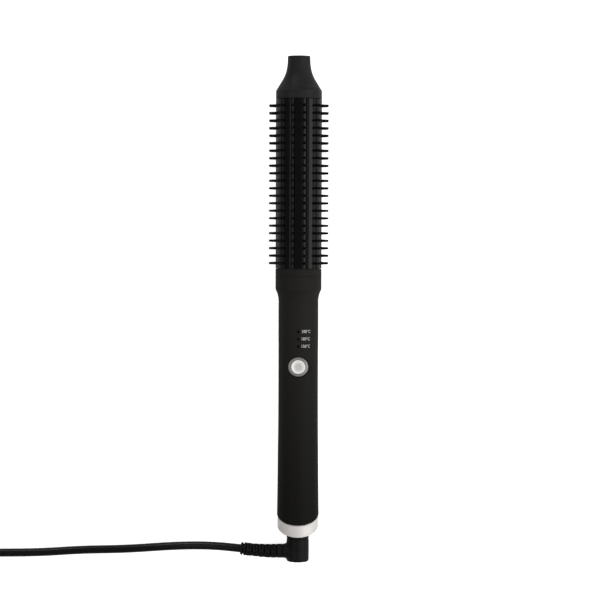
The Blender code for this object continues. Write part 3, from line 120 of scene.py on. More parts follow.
# Swivel, cord and plug
NECK_RADIUS = 7.27
BOOT_RADIUS = 7.8
BOOT_TOP = -186.1
BOOT_END = -199.75
ARM_PLACE = -192.3
ARM_RADIUS = 5.0
ARM_REACH = 10.6
ARM_FILLET = 1.7
ARM_EDGE = 0.12
RELIEF_LENGTH = 29.0
RELIEF_PITCH = 4.22
RELIEF_FIRST_GROOVE = 3.9
RELIEF_LAST_RIB = 26.5
RELIEF_STEPS = 290
RELIEF_SIDES = 56
RELIEF_SHOULDERS = (
    (-0.5, 4.95), (9.0, 4.8), (14.5, 4.65), (19.0, 4.48), (23.0, 4.45), (25.4, 4.7), (29.0, 4.3),
)
CORD_RADIUS = 2.9
CORD_ROUTE = (
    (-20.0, -168.73, 13.2), (-30.0, -168.18, 12.8), (-40.0, -167.23, 11.9),
    (-47.5, -166.58, 10.9), (-55.0, -166.08, 9.7), (-63.0, -165.83, 8.3), (-71.0, -165.88, 6.9),
    (-80.0, -166.18, 5.4), (-90.0, -166.73, 4.15), (-100.0, -167.43, 3.3),
    (-110.0, -168.15, 3.0), (-121.0, -168.76, 2.96), (-133.0, -169.16, 2.96),
    (-147.0, -169.48, 2.96), (-161.0, -170.13, 2.96), (-175.0, -171.03, 2.96),
    (-190.0, -171.58, 2.96), (-205.0, -171.78, 2.96), (-220.0, -171.93, 3.0),
    (-234.0, -171.98, 3.6), (-248.0, -171.98, 4.1), (-254.0, -171.98, 4.1),
    (-260.0, -171.98, 4.1),
)
COIL_X = -264.5
COIL_Y = -126.16125
COIL_INNER = 22.98125
COIL_TURNS = 7.25
COIL_PITCH = 6.3
COIL_BASE = 4.1
TAIL_LENGTH = 48.0
TIE_ANGLE = math.radians(60)
TIE_HALF_WIDTH = 6.0
TIE_THICKNESS = 0.88
TIE_BEND = 3.2
PLUG_LOW = 6.85
PLUG_LENGTH = 38.0
PLUG_WIDTH = 35.2
PLUG_HEIGHT = 13.66
PLUG_SHARES = (
    (0.0, 0.25, 0.62), (0.24, 0.30, 0.70), (0.36, 0.37, 0.80), (0.50, 0.64, 0.93),
    (0.64, 0.92, 1.0), (0.74, 1.0, 1.0), (0.96, 1.0, 1.0),
)
PIN_SIDE = 9.5
PIN_FOOT = 35.3
PIN_SLEEVE_END = 45.9
PIN_END = 54.3

# Camera
CAMERA_DISTANCE = 1.530
PHOTO_SIDE = 600
METRES_PER_PIXEL = 0.0006957
SENSOR = 36.0


# Mesh tools


def soft(corners, steps=4):
    """Rounds the corners of an open outline given as (radius, place, size of the round)."""
    made = []
    for index, (r, u, size) in enumerate(corners):
        here = Vector((r, u))
        if size == 0 or index in (0, len(corners) - 1):
            made.append(here)
            continue
        before = (Vector(corners[index - 1][:2]) - here).normalized() * size
        after = (Vector(corners[index + 1][:2]) - here).normalized() * size
        for step in range(steps + 1):
            t = step / steps
            made.append(here + before * (1 - t) ** 2 + after * t**2)
    return [tuple(p) for p in made]


def flowing(points, steps=4):
    """A smooth curve through points of any number of dimensions."""
    line = [Vector(p) for p in points]
    line = [2 * line[0] - line[1], *line, 2 * line[-1] - line[-2]]
    made = []
    for a, b, c, d in zip(line, line[1:], line[2:], line[3:]):
        for step in range(steps):
            t = step / steps
            bend = (2 * a - 5 * b + 4 * c - d) * t**2 + (3 * b - a - 3 * c + d) * t**3
            made.append((2 * b + (c - a) * t + bend) / 2)
    return [tuple(p) for p in [*made, line[-2]]]


def held(value, low, high):
    """How far a value is on its way from low to high, held between 0 and 1."""
    return min(max((value - low) / (high - low), 0), 1)


def gently(value, low, high):
    """The same, but it starts and stops gently."""
    share = held(value, low, high)
    return share**2 * (3 - 2 * share)


def spokes(steps, shift=0.0):
    """Sine and cosine of the angles that share a circle out evenly."""
    angles = [FULL * (k + shift) / steps for k in range(steps)]
    return [(math.sin(angle), math.cos(angle)) for angle in angles]


def skin(shape, rows, closed=False):
    """Faces between rows of vertices that each run round once, and back to the first if closed."""
    for low, high in zip(rows, [*rows[1:], rows[0]] if closed else rows[1:]):
        for k in range(len(low)):
            n = (k + 1) % len(low)
            corners = list(dict.fromkeys((low[k], low[n], high[n], high[k])))
            if len(corners) > 2:
                shape.faces.new(corners)


def turned(outline, steps=ROUND, closed=False):
    """Turns (radius, place) points round the u axis. Ends on the axis close there."""
    shape = bmesh.new()
    rows = []
    for r, u in outline:
        if r < 1e-6:
            rows.append([shape.verts.new((0, u, 0))] * steps)
        else:
            rows.append([shape.verts.new((r * s, u, r * c)) for s, c in spokes(steps)])
    skin(shape, rows, closed)
    return shape


def block(low, high, edge=0.15):
    """A box with soft edges."""
    shape = bmesh.new()
    bmesh.ops.create_cube(shape, size=1)
    size = Vector(high) - Vector(low)
    middle = (Vector(high) + Vector(low)) / 2
    place = Matrix.Translation(middle) @ Matrix.Diagonal((*size, 1))
    bmesh.ops.transform(shape, matrix=place, verts=shape.verts)
    bmesh.ops.bevel(shape, geom=shape.edges[:], offset=edge, segments=2, affect="EDGES", profile=0.5)
    return shape


def moved(shape, matrix):
    bmesh.ops.transform(shape, matrix=matrix, verts=shape.verts)
    return shape


def upright(shape, u):
    """Stands a shape that was turned round the u axis up on the button's side."""
    return moved(shape, Matrix.Translation((0, u, 0)) @ Matrix.Rotation(QUARTER, 4, "X"))


def joined(*shapes):
    """Several shapes as one."""
    whole = bmesh.new()
    for shape in shapes:
        mesh = bpy.data.meshes.new("part")
        shape.to_mesh(mesh)
        shape.free()
        whole.from_mesh(mesh)
        bpy.data.meshes.remove(mesh)
    return whole


def smooth(mesh, sharp):
    """Shades a mesh smooth, but for edges sharper than an angle in degrees."""
    mesh.shade_smooth()
    mesh.set_sharp_from_angle(angle=math.radians(sharp))
    return mesh


def mesh_of(shape, sharp=32):
    """A mesh with outward faces, smooth but for its sharp edges."""
    bmesh.ops.recalc_face_normals(shape, faces=shape.faces)
    if shape.calc_volume(signed=True) < 0:
        bmesh.ops.reverse_faces(shape, faces=shape.faces)
    mesh = bpy.data.meshes.new("piece")
    shape.to_mesh(mesh)
    shape.free()
    return smooth(mesh, sharp)


def put(name, data):
    """An object in the scene for a mesh, a curve, a lamp or a camera."""
    made = bpy.data.objects.new(name, data)
    bpy.context.scene.collection.objects.link(made)
    return made


def plain_mesh(item, *helpers):
    """The finished mesh of an object. The object and its helpers are then removed."""
    ready = item.evaluated_get(bpy.context.evaluated_depsgraph_get())
    made = bpy.data.meshes.new_from_object(ready)
    for each in (item, *helpers):
        bpy.data.objects.remove(each)
    return made


def cut(mesh, shape, operation="DIFFERENCE"):
    """The mesh with another shape cut out of it, or added to it."""
    base, tool = put("base", mesh), put("tool", mesh_of(shape))
    boolean = base.modifiers.new("cut", "BOOLEAN")
    boolean.operation = operation
    boolean.object = tool
    return plain_mesh(base, tool)


def eased(mesh, width, angle):
    """The mesh with a round along its edges that are sharper than an angle in degrees."""
    holder = put("eased", mesh)
    bevel = holder.modifiers.new("edge", "BEVEL")
    bevel.width = width
    bevel.segments = 2
    bevel.limit_method = "ANGLE"
    bevel.angle_limit = math.radians(angle)
    return plain_mesh(holder)


def paint(mesh, look):
    """Gives a whole mesh one finish."""
    mesh.materials.clear()
    mesh.materials.append(look)


def show(name, mesh, look, body, nodes=(), slot=None, place=LAY):
    """Puts a mesh in its place as one piece that rides on a body and stands for CAD nodes."""
    mesh.name = name
    mesh.transform(place)
    if look:
        paint(mesh, look)
    made = put(name, mesh)
    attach(made, body)
    if nodes:
        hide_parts(*nodes)
    return made


# Finishes


def add_node(tree, kind, inputs=(), **settings):
    """A node with its settings. Each input is linked to a socket or set to a value."""
    node = tree.nodes.new(kind)
    for key, value in settings.items():
        setattr(node, key, value)
    for key, value in dict(inputs).items():
        if isinstance(value, bpy.types.NodeSocket):
            tree.links.new(value, node.inputs[key])
        else:
            node.inputs[key].default_value = value
    return node


class Finish:
    """A node-built surface. Its patterns read the piece's own coordinates, in metres."""

    def __init__(self, name, colour, roughness, metallic=0.0, specular=0.5):
        self.material = bpy.data.materials.new(name)
        self.material.use_nodes = True
        self.material.diffuse_color = (*colour, 1)
        self.tree = self.material.node_tree
        self.shader = self.tree.nodes["Principled BSDF"]
        self.colour = colour
        self.roughness = roughness
        self.set("Base Color", (*colour, 1))
        self.set("Roughness", roughness)
        self.set("Metallic", metallic)
        self.set("Specular IOR Level", specular)
        self.places = self.add("ShaderNodeTexCoord").outputs["Object"]
        self.height = None

    def set(self, socket, value):
        self.shader.inputs[socket].default_value = value

    def link(self, value, socket):
        self.tree.links.new(value, self.shader.inputs[socket])

    def add(self, kind, inputs=(), **settings):
        return add_node(self.tree, kind, inputs, **settings)

    def math(self, operation, *values):
        return self.add("ShaderNodeMath", dict(enumerate(values)), operation=operation).outputs[0]

    def ramp(self, value, start, end, low=0.0, high=1.0, **settings):
        """Maps a value from one range to another and holds it at the ends."""
        ends = {"Value": value, "From Min": start, "From Max": end, "To Min": low, "To Max": high}
        return self.add("ShaderNodeMapRange", ends, **settings).outputs["Result"]

    def between(self, value, low, high):
        """Spreads a noise's usual range over two values."""
        return self.ramp(value, 0.3, 0.7, low, high)

    def attribute(self, name):
        """A number that the piece's vertices carry."""
        return self.add("ShaderNodeAttribute", attribute_name=name).outputs["Fac"]

    def noise(self, size, stretch=(1, 1, 1), detail=2.0):
        """Noise with features of a size in millimetres, longer along an axis that is stretched."""
        scale = tuple(1 / (size * MM * s) for s in stretch)
        turn = (-TILT, 0, 0) if stretch != (1, 1, 1) else (0, 0, 0)
        level = self.add("ShaderNodeMapping", {"Vector": self.places, "Rotation": turn})
        spread = self.add("ShaderNodeMapping", {"Vector": level.outputs[0], "Scale": scale})
        where = {"Vector": spread.outputs[0], "Detail": detail, "Scale": 1.0}
        return self.add("ShaderNodeTexNoise", where).outputs["Fac"]

    def lines(self, value, number, detail=2.0):
        """Noise along one value only, which gives lines across it. A number says how close."""
        where = {"W": self.math("MULTIPLY", value, number), "Detail": detail, "Scale": 1.0}
        return self.add("ShaderNodeTexNoise", where, noise_dimensions="1D").outputs["Fac"]

    def tint(self, pattern, low, high):
        """Darkens and lightens the colour by a pattern."""
        mixed = self.add("ShaderNodeMix", {"Factor": self.between(pattern, 0, 1)}, data_type="RGBA")
        for key, value in (("A", low), ("B", high)):
            socket = next(s for s in mixed.inputs if s.name == key and s.type == "RGBA")
            socket.default_value = (*[min(c * value, 1) for c in self.colour], 1)
        self.link(next(s for s in mixed.outputs if s.type == "RGBA"), "Base Color")

    def gloss(self, pattern, spread):
        """Varies the roughness by a pattern."""
        low = max(self.roughness - spread, 0.02)
        self.link(self.between(pattern, low, self.roughness + spread), "Roughness")

    def raise_by(self, pattern, height):
        """Adds a pattern of a height in millimetres to the surface's relief."""
        part = self.math("MULTIPLY", pattern, height * MM)
        self.height = part if self.height is None else self.math("ADD", self.height, part)

    def done(self):
        if self.height is not None:
            bump = self.add("ShaderNodeBump", {"Height": self.height, "Strength": 1.0, "Distance": 1.0})
            self.link(bump.outputs["Normal"], "Normal")
        return self.material


def plain_finish(name, colour, roughness, metallic=0.0, specular=0.5, grain=0.6, relief=0.004):
    """A moulded or cast surface with fine grain and slightly uneven colour and gloss."""
    made = Finish(name, colour, roughness, metallic, specular)
    made.tint(made.noise(grain * 12), 0.85, 1.15)
    made.gloss(made.noise(grain * 6), roughness * 0.12)
    made.raise_by(made.noise(grain), relief)
    return made.done()


def coating_finish():
    """Glossy black coating, with faint drawn lines along the extrusion."""
    made = Finish("gloss_black_coating", (0.0018, 0.0018, 0.0018), 0.13, 0.0, 0.14)
    made.gloss(made.noise(0.5, (1, 60, 1)), 0.04)
    made.tint(made.noise(6.0), 0.7, 1.3)
    made.raise_by(made.noise(0.35, (1, 80, 1)), 0.0012)
    made.raise_by(made.noise(3.0), 0.003)
    return made.done()


def soft_touch_finish():
    """Matt black handle paint: fine grain, faint mottle, painted shade that darkens it towards its slanted
    end, and a low diamond pattern on the grip.
    """
    made = Finish("soft_touch_black", (0.0128, 0.0124, 0.0111), 0.56, 0.0, 0.04)
    made.gloss(made.noise(2.5), 0.05)
    made.raise_by(made.noise(0.22, detail=3.0), 0.009)
    back = Matrix.Rotation(-TILT, 3, "X") @ ORIGIN
    to_brush = {"Vector": made.places, "Rotation": (-TILT, 0, 0), "Location": tuple(-c for c in back)}
    mapped = made.add("ShaderNodeMapping", to_brush)
    x, u, h = made.add("ShaderNodeSeparateXYZ", {"Vector": mapped.outputs[0]}).outputs
    # Painted shade: the colour darkens towards the handle's slanted end and lightens towards the collar; a
    # faint random mottle is added on top.
    painted_shade = made.ramp(u, -0.166, -0.030, 0.30, 0.72)
    mottle = made.math("MULTIPLY_ADD", made.noise(4.0, detail=5.0), 0.1, -0.05)
    made.tint(made.math("ADD", painted_shade, mottle), 0.5, 1.15)
    round_place = made.math("MULTIPLY", made.math("ARCTAN2", x, h), HANDLE_RADIUS * MM)
    waves = []
    for side in (-1, 1):
        slope = made.math("MULTIPLY_ADD", round_place, side * FULL / (DIAMOND_WIDTH * MM), 0.0)
        slope = made.math("MULTIPLY_ADD", u, FULL / (DIAMOND_LENGTH * MM), slope)
        waves.append(made.math("SINE", slope))
    diamond = made.math("MULTIPLY", waves[0], waves[1])
    diamond = made.math("SMOOTH_MIN", diamond, 0.35, 0.3)
    grip = made.ramp(u, GRIP_TEXTURE[0] * MM, GRIP_TEXTURE[1] * MM, interpolation_type="SMOOTHSTEP")
    made.raise_by(made.math("MULTIPLY", grip, diamond), 0.035)
    return made.done()


def eroded(made):
    """Ends a finish with the fine grain that eroded moulds leave."""
    made.gloss(made.noise(1.6), 0.04)
    made.raise_by(made.noise(0.18, detail=3.0), 0.006)
    return made.done()


def satin_finish(name, colour, roughness, specular):
    """Satin plastic or rubber."""
    made = Finish(name, colour, roughness, 0.0, specular)
    made.tint(made.noise(5.0), 0.88, 1.12)
    return eroded(made)


def relief_finish():
    """Satin rubber with painted shade in its grooves: the colour darkens where the groove attribute says
    they are deep.
    """
    made = Finish("black_relief_rubber", (0.0074, 0.0072, 0.0072), 0.5, 0.0, 0.07)
    mottle = made.math("MULTIPLY_ADD", made.noise(5.0), 0.05, 0.475)
    # Painted shade: the colour darkens with the depth of each groove, as shade falls in its recess.
    made.tint(made.math("MULTIPLY_ADD", made.attribute("groove"), -0.2, mottle), 0.05, 1.95)
    return eroded(made)


def brushed_finish(name, colour, roughness, lines, spread, metal=1.0):
    """Brushed metal. The lines run at right angles to one direction in the brush's frame."""
    made = Finish(name, colour, roughness, metal)
    across = (Matrix.Rotation(TILT, 3, "X") @ Vector(lines)).normalized()
    place = made.add("ShaderNodeVectorMath", {0: made.places, 1: across}, operation="DOT_PRODUCT")
    fine = made.lines(place.outputs["Value"], 9000.0, 3.0)
    coarse = made.lines(place.outputs["Value"], 1700.0, 3.0)
    both = made.math("MULTIPLY_ADD", fine, 0.6, made.math("MULTIPLY", coarse, 0.4))
    patchy = made.math("MULTIPLY_ADD", made.noise(2.0), 0.3, made.math("MULTIPLY", both, 0.7))
    made.tint(patchy, 1 - spread, 1 + spread)
    made.gloss(both, 0.07)
    made.raise_by(both, 0.006)
    return made.done()


def button_finish():
    """Turned metal in fine rings, with a painted highlight that lightens the colour outwards, as the rim
    attribute says.
    """
    made = Finish("turned_button", (0.60, 0.59, 0.577), 0.44, 0.7)
    rim = made.attribute("rim")
    rings = made.lines(rim, 9.0)
    # Painted highlight: the colour grows lighter towards the cap's rim; the fine rings on top are the
    # turned lines.
    made.tint(made.math("MULTIPLY_ADD", rings, 0.25, made.ramp(rim, 0.3, 0.95, 0.1, 0.9)), 1.06, 1.5)
    made.gloss(rings, 0.08)
    made.raise_by(rings, 0.01)
    return made.done()


def loop_finish():
    """Black hook-and-loop tape."""
    made = Finish("black_hook_and_loop", (0.012, 0.012, 0.012), 0.9, 0.0, 0.2)
    cells = made.add("ShaderNodeTexVoronoi", {"Vector": made.places, "Scale": 1400.0})
    made.tint(cells.outputs["Distance"], 0.5, 1.8)
    made.set("Sheen Weight", 0.25)
    made.set("Sheen Roughness", 0.5)
    made.raise_by(cells.outputs["Distance"], 0.12)
    made.raise_by(made.noise(0.5), 0.15)
    return made.done()


def cord_finish():
    """Black cord covering, extruded smooth, with long faint ripples."""
    made = Finish("black_cord_covering", (0.0028, 0.0028, 0.0027), 0.27, 0.0, 0.15)
    made.tint(made.noise(9.0), 0.85, 1.15)
    made.gloss(made.noise(4.0), 0.05)
    made.raise_by(made.noise(6.0), 0.03)
    made.raise_by(made.noise(0.3), 0.004)
    return made.done()


COATING = coating_finish()
BRISTLE_NYLON = satin_finish("black_bristle_nylon", (0.0045, 0.0045, 0.0045), 0.45, 0.08)
STRIP_NYLON = satin_finish("black_strip_nylon", (0.006, 0.006, 0.006), 0.36, 0.16)
SOFT_TOUCH = soft_touch_finish()
SATIN = satin_finish("satin_black_plastic", (0.0168, 0.0159, 0.0161), 0.44, 0.06)
RING_METAL = brushed_finish("brushed_end_ring", (0.645, 0.622, 0.604), 0.62, (0, 1, SLANT), 0.15, 0.5)
BUTTON_METAL = button_finish()
BOOT_RUBBER = satin_finish("black_boot_rubber", (0.006, 0.0058, 0.0058), 0.45, 0.08)
BEZEL_METAL = brushed_finish("grey_satin_bezel", (0.27, 0.26, 0.25), 0.58, (0, 0, 1), 0.05, 0.4)
CORD_COVER = cord_finish()
RELIEF_RUBBER = relief_finish()
PLUG_PLASTIC = satin_finish("black_plug_plastic", (0.009, 0.009, 0.009), 0.44, 0.1)
PIN_METAL = brushed_finish("nickel_pin", (0.66, 0.64, 0.6), 0.24, (1, 0, 0), 0.05)
LOOP = loop_finish()
SMOKED = plain_finish("smoked_light_plastic", (0.003, 0.003, 0.003), 0.3, 0.0, 0.1, 0.4, 0.002)
PRINT = plain_finish("white_print", (0.58, 0.58, 0.56), 0.6, 0.0, 0.3, 0.25, 0.004)


# Heated end


def tip_sweep():
    """The tip's side as a smooth curve, from its flat end to the foot of its cone."""
    wide = BARREL_RADIUS - TIP_END_RADIUS
    length = TIP_TOP - TIP_FOOT
    sweep = [(TIP_END_RADIUS + wide * r, TIP_FOOT + length * along) for along, r in TIP_SHARES]
    return flowing([*sweep, (BARREL_RADIUS, TIP_FOOT)], 5)


def sweep_radius(place):
    """The sweep's radius at a place between its points."""
    for (r, u), (next_r, next_u) in zip(tip_sweep(), tip_sweep()[1:]):
        if next_u <= place <= u:
            return r + (next_r - r) * (u - place) / (u - next_u)
    return BARREL_RADIUS


def build_cool_tip():
    """A hollow cap that sweeps from the upper ring's width to a narrow flat end."""
    foot = TIP_SEAM + SEAM
    sweep = [point for point in tip_sweep() if point[1] > foot + 0.3]
    top = soft([(0, TIP_TOP, 0), (TIP_END_RADIUS, TIP_TOP, 0.5), sweep[0] + (0,)], 5)
    edge = soft([sweep[-1] + (0,), (sweep_radius(foot), foot, 0.1), (SPIGOT_RADIUS, foot, 0)])
    spigot = [(SPIGOT_RADIUS, TIP_FOOT - 13.0), (SPIGOT_BORE, TIP_FOOT - 13.0)]
    hollow = [(SPIGOT_BORE, TIP_FOOT + 6), (0, TIP_FOOT + 12)]
    shape = turned([*top[:-1], *sweep, *edge[1:], *spigot, *hollow])
    show("cool_tip_fine", mesh_of(shape), SATIN, "brush", ["cool_tip"], "satin_black")


def build_end_rings():
    """The rings over the slots' ends. The upper one's top runs on into the tip's cone."""
    low, high = SEAM, BARREL_START - HALF_GAP
    lower = [
        (BARREL_BORE, low, 0), (BARREL_RADIUS, low, 0.12), (BARREL_RADIUS, high, 0.35),
        (BARREL_BORE, high, 0),
    ]
    low, high = BARREL_END + HALF_GAP, TIP_SEAM - SEAM
    upper = [
        (BARREL_BORE, low, 0), (BARREL_RADIUS, low, 0.35), (BARREL_RADIUS, TIP_FOOT, 0.25),
        (sweep_radius(high), high, 0.1), (BARREL_BORE, high, 0),
    ]
    for name, corners, look in (("lower", lower, SOFT_TOUCH), ("upper", upper, SATIN)):
        mesh = mesh_of(turned(soft(corners, 5), closed=True))
        show(f"{name}_ring_fine", mesh, look, "brush", [f"{name}_end_ring"], "satin_black")


def slot_angle(index):
    """A comb's angle from the top, towards +x."""
    return (index + 0.5) * FULL / COMBS


def build_barrel():
    """The extrusion with its twelve T-slots; the lips of the slots are slightly rounded."""
    lip = math.asin(SLOT_MOUTH / BARREL_RADIUS)
    outline = []
    for index in range(COMBS):
        middle = slot_angle(index)
        turn = Matrix.Rotation(-middle, 2)
        outline += [tuple(turn @ Vector(corner)) for corner in SLOT_OUTLINE]
        first, last = middle + lip, middle + FULL / COMBS - lip
        land = [(first + past, drop) for past, drop in LIP_ROUND]
        land += [(first + (last - first) * k / 10, 0.0) for k in range(1, 10)]
        land += [(last - past, drop) for past, drop in reversed(LIP_ROUND)]
        for angle, drop in land:
            r = BARREL_RADIUS - drop
            outline.append((r * math.sin(angle), r * math.cos(angle)))
    bore = [(BARREL_BORE * s, BARREL_BORE * c) for s, c in spokes(ROUND)]
    shape = bmesh.new()
    ends = []
    for u in (BARREL_START + HALF_GAP, BARREL_END - HALF_GAP):
        rims = [[shape.verts.new((x, u, h)) for x, h in loop] for loop in (outline, bore)]
        edges = []
        for rim in rims:
            edges += [shape.edges.new(pair) for pair in zip(rim, rim[1:] + rim[:1])]
        bmesh.ops.triangle_fill(shape, edges=edges, use_beauty=True)
        ends.append(rims)
    for rims in zip(*ends):
        skin(shape, rims)
    show("barrel_fine", mesh_of(shape, 25), COATING, "brush", ["barrel"], "barrel_coating")


def comb_strip():
    """One strip that fills its slot, with a slightly crowned top, drawn with h outwards."""
    shape = bmesh.new()
    ends = []
    for u in (BARREL_START + HALF_GAP, BARREL_END - HALF_GAP):
        ends.append([shape.verts.new((x, u, h)) for x, h in STRIP_OUTLINE])
        shape.faces.new(ends[-1])
    skin(shape, ends)
    return mesh_of(shape)


def single_bristle():
    """A tapered square-shouldered pin with a worn round top, drawn with h outwards."""
    top = BRISTLE_LENGTH
    outline = soft([(0.95, 0, 0), (0.95, 0.4, 0.1), (0.80, 3.3, 0.8), (0.68, top, 0.34), (0, top, 0)], 2)
    shape = turned([(0, 0), *outline], 8)
    outwards = Matrix.Translation((0, 0, BRISTLE_REACH - top)) @ Matrix.Rotation(QUARTER, 4, "X")
    return mesh_of(moved(shape, outwards), 50)


def comb_set_tree(values):
    """Sets a row of bristles on a strip, and the strip round the barrel. One input for each value."""
    tree = bpy.data.node_groups.new("comb_set", "GeometryNodeTree")
    kinds = {bpy.types.Object: "Object", bpy.types.Material: "Material", int: "Int", float: "Float"}
    names = {}
    for name, value in values.items():
        kind = f"NodeSocket{kinds[type(value)]}"
        names[name] = tree.interface.new_socket(name=name, in_out="INPUT", socket_type=kind).identifier
    tree.interface.new_socket(name="Geometry", in_out="OUTPUT", socket_type="NodeSocketGeometry")
    given = tree.nodes.new("NodeGroupInput").outputs
    out = tree.nodes.new("NodeGroupOutput")

    def add(kind, inputs=(), **settings):
        return add_node(tree, kind, inputs, **settings).outputs

    first = add("ShaderNodeCombineXYZ", {"Y": given["First bristle"]})[0]
    step = add("ShaderNodeCombineXYZ", {"Y": given["Bristle pitch"]})[0]
    row_inputs = {"Count": given["Bristles in a row"], "Start Location": first, "Offset": step}
    row = add("GeometryNodeMeshLine", row_inputs)[0]
    bristle = add("GeometryNodeObjectInfo", {"Object": given["Bristle"]})["Geometry"]
    pins = add("GeometryNodeInstanceOnPoints", {"Points": row, "Instance": bristle})[0]
    strip = add("GeometryNodeObjectInfo", {"Object": given["Strip"]})["Geometry"]
    comb = tree.nodes.new("GeometryNodeJoinGeometry")
    for part, finish in ((strip, given["Strip finish"]), (pins, given["Bristle finish"])):
        real = add("GeometryNodeRealizeInstances", {0: part})[0]
        painted = add("GeometryNodeSetMaterial", {"Geometry": real, "Material": finish})[0]
        tree.links.new(painted, comb.inputs[0])
    whole = add("GeometryNodeGeometryToInstance", {0: comb.outputs[0]})[0]
    places = add("GeometryNodeMeshLine", {"Count": given["Combs"], "Offset": (0, 0, 0)})[0]
    index = add("GeometryNodeInputIndex")[0]
    angle = add("ShaderNodeMath", {0: index, 1: given["Turn between combs"]}, operation="MULTIPLY")[0]
    angle = add("ShaderNodeMath", {0: angle, 1: given["First turn"]}, operation="ADD")[0]
    turn = add("ShaderNodeCombineXYZ", {"Y": angle})[0]
    comb_inputs = {"Points": places, "Instance": whole, "Rotation": turn}
    combs = add("GeometryNodeInstanceOnPoints", comb_inputs)[0]
    real = add("GeometryNodeRealizeInstances", {0: combs})[0]
    tree.links.new(real, out.inputs[0])
    return tree, names


def build_combs():
    """All twelve combs with their rows of bristles."""
    strip = bpy.data.objects.new("strip", comb_strip())
    bristle = bpy.data.objects.new("bristle", single_bristle())
    values = {
        "Strip": strip, "Bristle": bristle, "Combs": COMBS, "Bristles in a row": BRISTLES,
        "First bristle": FIRST_BRISTLE, "Bristle pitch": BRISTLE_PITCH, "First turn": slot_angle(0),
        "Turn between combs": FULL / COMBS, "Strip finish": STRIP_NYLON,
        "Bristle finish": BRISTLE_NYLON,
    }
    holder = put("combs", bpy.data.meshes.new("combs"))
    nodes = holder.modifiers.new("combs", "NODES")
    nodes.node_group, names = comb_set_tree(values)
    for name, value in values.items():
        nodes[names[name]] = value
    mesh = plain_mesh(holder, strip, bristle)
    combs = [f"bristle_comb_{k + 1:02d}" for k in range(COMBS)]
    show("bristle_combs", mesh, None, "brush", combs, "bristles")


# Handle


def shell_outline():
    """Points of (radius, place) along the outside, and back along the inside."""
    drop = BARREL_RADIUS - HANDLE_RADIUS
    bend = [(HANDLE_RADIUS + drop * 0.94, SHOULDER_START - 0.35)]
    bend += [(HANDLE_RADIUS + drop * r, SHOULDER_START - SHOULDER_LENGTH * u) for u, r in SHOULDER_SHARES]
    bend += [(HANDLE_RADIUS * r, GRIP_START - HANDLE_LENGTH * u) for u, r in GRIP_SHARES]
    bend = flowing(bend, 6)
    collar = soft(
        [
            (BARREL_BORE, -SEAM, 0), (BARREL_RADIUS, -SEAM, 0.12),
            (BARREL_RADIUS, SHOULDER_START, 0.3), (*bend[0], 0),
        ]
    )
    inside = [
        (HANDLE_BORE, HANDLE_END + 8), (HANDLE_BORE, GRIP_START), (COLLAR_BORE, -7.4),
        (COLLAR_BORE, -2.2), (BARREL_BORE, -2.2),
    ]
    return collar[:-1], bend, inside


def half_shell(side):
    """Half of the housing, with its slanted end and a soft edge along the seam."""
    collar, bend, inside = shell_outline()
    last_r, last_u = bend[-1]
    end_r = HANDLE_END_RADIUS
    angles = [0.0, 0.006, 0.014] + [math.pi * k / 60 for k in range(1, 60)]
    angles += [math.pi - 0.014, math.pi - 0.006, math.pi]
    last = len(angles) - 1
    drops = {0: 0.16, 1: 0.04, last: 0.16, last - 1: 0.04}
    shape = bmesh.new()
    columns = []
    for index, angle in enumerate(angles):
        x, h = math.cos(angle), side * math.sin(angle)
        slope = -SLANT * h
        tail = []
        for share in (0.25, 0.5, 0.75, 0.93):
            end_u = HANDLE_END + 0.4 + slope * end_r
            tail.append((last_r + (end_r - last_r) * share, last_u + (end_u - last_u) * share))
        edge = ((end_r, 0.5), (end_r - 0.1, 0.28), (end_r - 0.4, HALF_GAP), (HANDLE_BORE, HALF_GAP))
        tail += [(r, HANDLE_END + before + slope * r) for r, before in edge]
        column = []
        for place, (r, u) in enumerate([*collar, *bend, *tail, *inside]):
            outside = r > HANDLE_BORE + 2 and place > 1
            eased_r = r - (drops.get(index, 0) if outside else 0)
            height = side * HALF_GAP if index in (0, last) else eased_r * h
            column.append(shape.verts.new((eased_r * x, u, height)))
        columns.append(column)
    skin(shape, columns)
    shape.faces.new(columns[0])
    shape.faces.new(columns[-1])
    return shape


def build_shells():
    """The two halves of the housing. The front one has the button's seat and the lights' holes."""
    front = mesh_of(half_shell(1), 40)
    pad = turned([(0, 9.5), (8.6, 9.5), (8.6, 12.0), (0, 12.0)], 64)
    front = cut(front, upright(pad, BUTTON_PLACE), "UNION")
    steps = ((0, 6.0), (6.3, 6.0), (6.3, 10.9), (7.4, 10.9), (7.4, 16.0), (0, 16.0))
    pocket = soft([(*step, 0) for step in steps])
    front = cut(front, upright(turned(pocket), BUTTON_PLACE))
    for u in LIGHT_PLACES:
        hole = turned([(0, 6.0), (1.0, 6.0), (1.0, 16.0), (0, 16.0)], 32)
        front = cut(front, upright(hole, u))
    rear = mesh_of(half_shell(-1), 40)
    for name, mesh in (("front", smooth(front, 40)), ("rear", rear)):
        show(f"handle_{name}_fine", mesh, SOFT_TOUCH, "brush", [f"handle_{name}_shell"], "soft_grip")


def build_end_ring():
    """The brushed ring, cut on a slant at both ends."""
    high, low = HANDLE_END - HALF_GAP, END_RING_END
    corners = [
        (HANDLE_BORE, low, 0), (END_RING_RADIUS - 0.5, low, 0.12), (END_RING_RADIUS, low + 0.5, 0.2),
        (END_RING_RADIUS, high - 0.5, 0.2), (END_RING_RADIUS - 0.5, high, 0.12), (HANDLE_BORE, high, 0),
    ]
    shape = turned(soft(corners, 3), 128, closed=True)
    for vert in shape.verts:
        vert.co.y -= SLANT * vert.co.z
    mesh = mesh_of(shape, 30)
    show("end_ring_fine", mesh, RING_METAL, "brush", ["slanted_end_ring"], "brushed_metal")


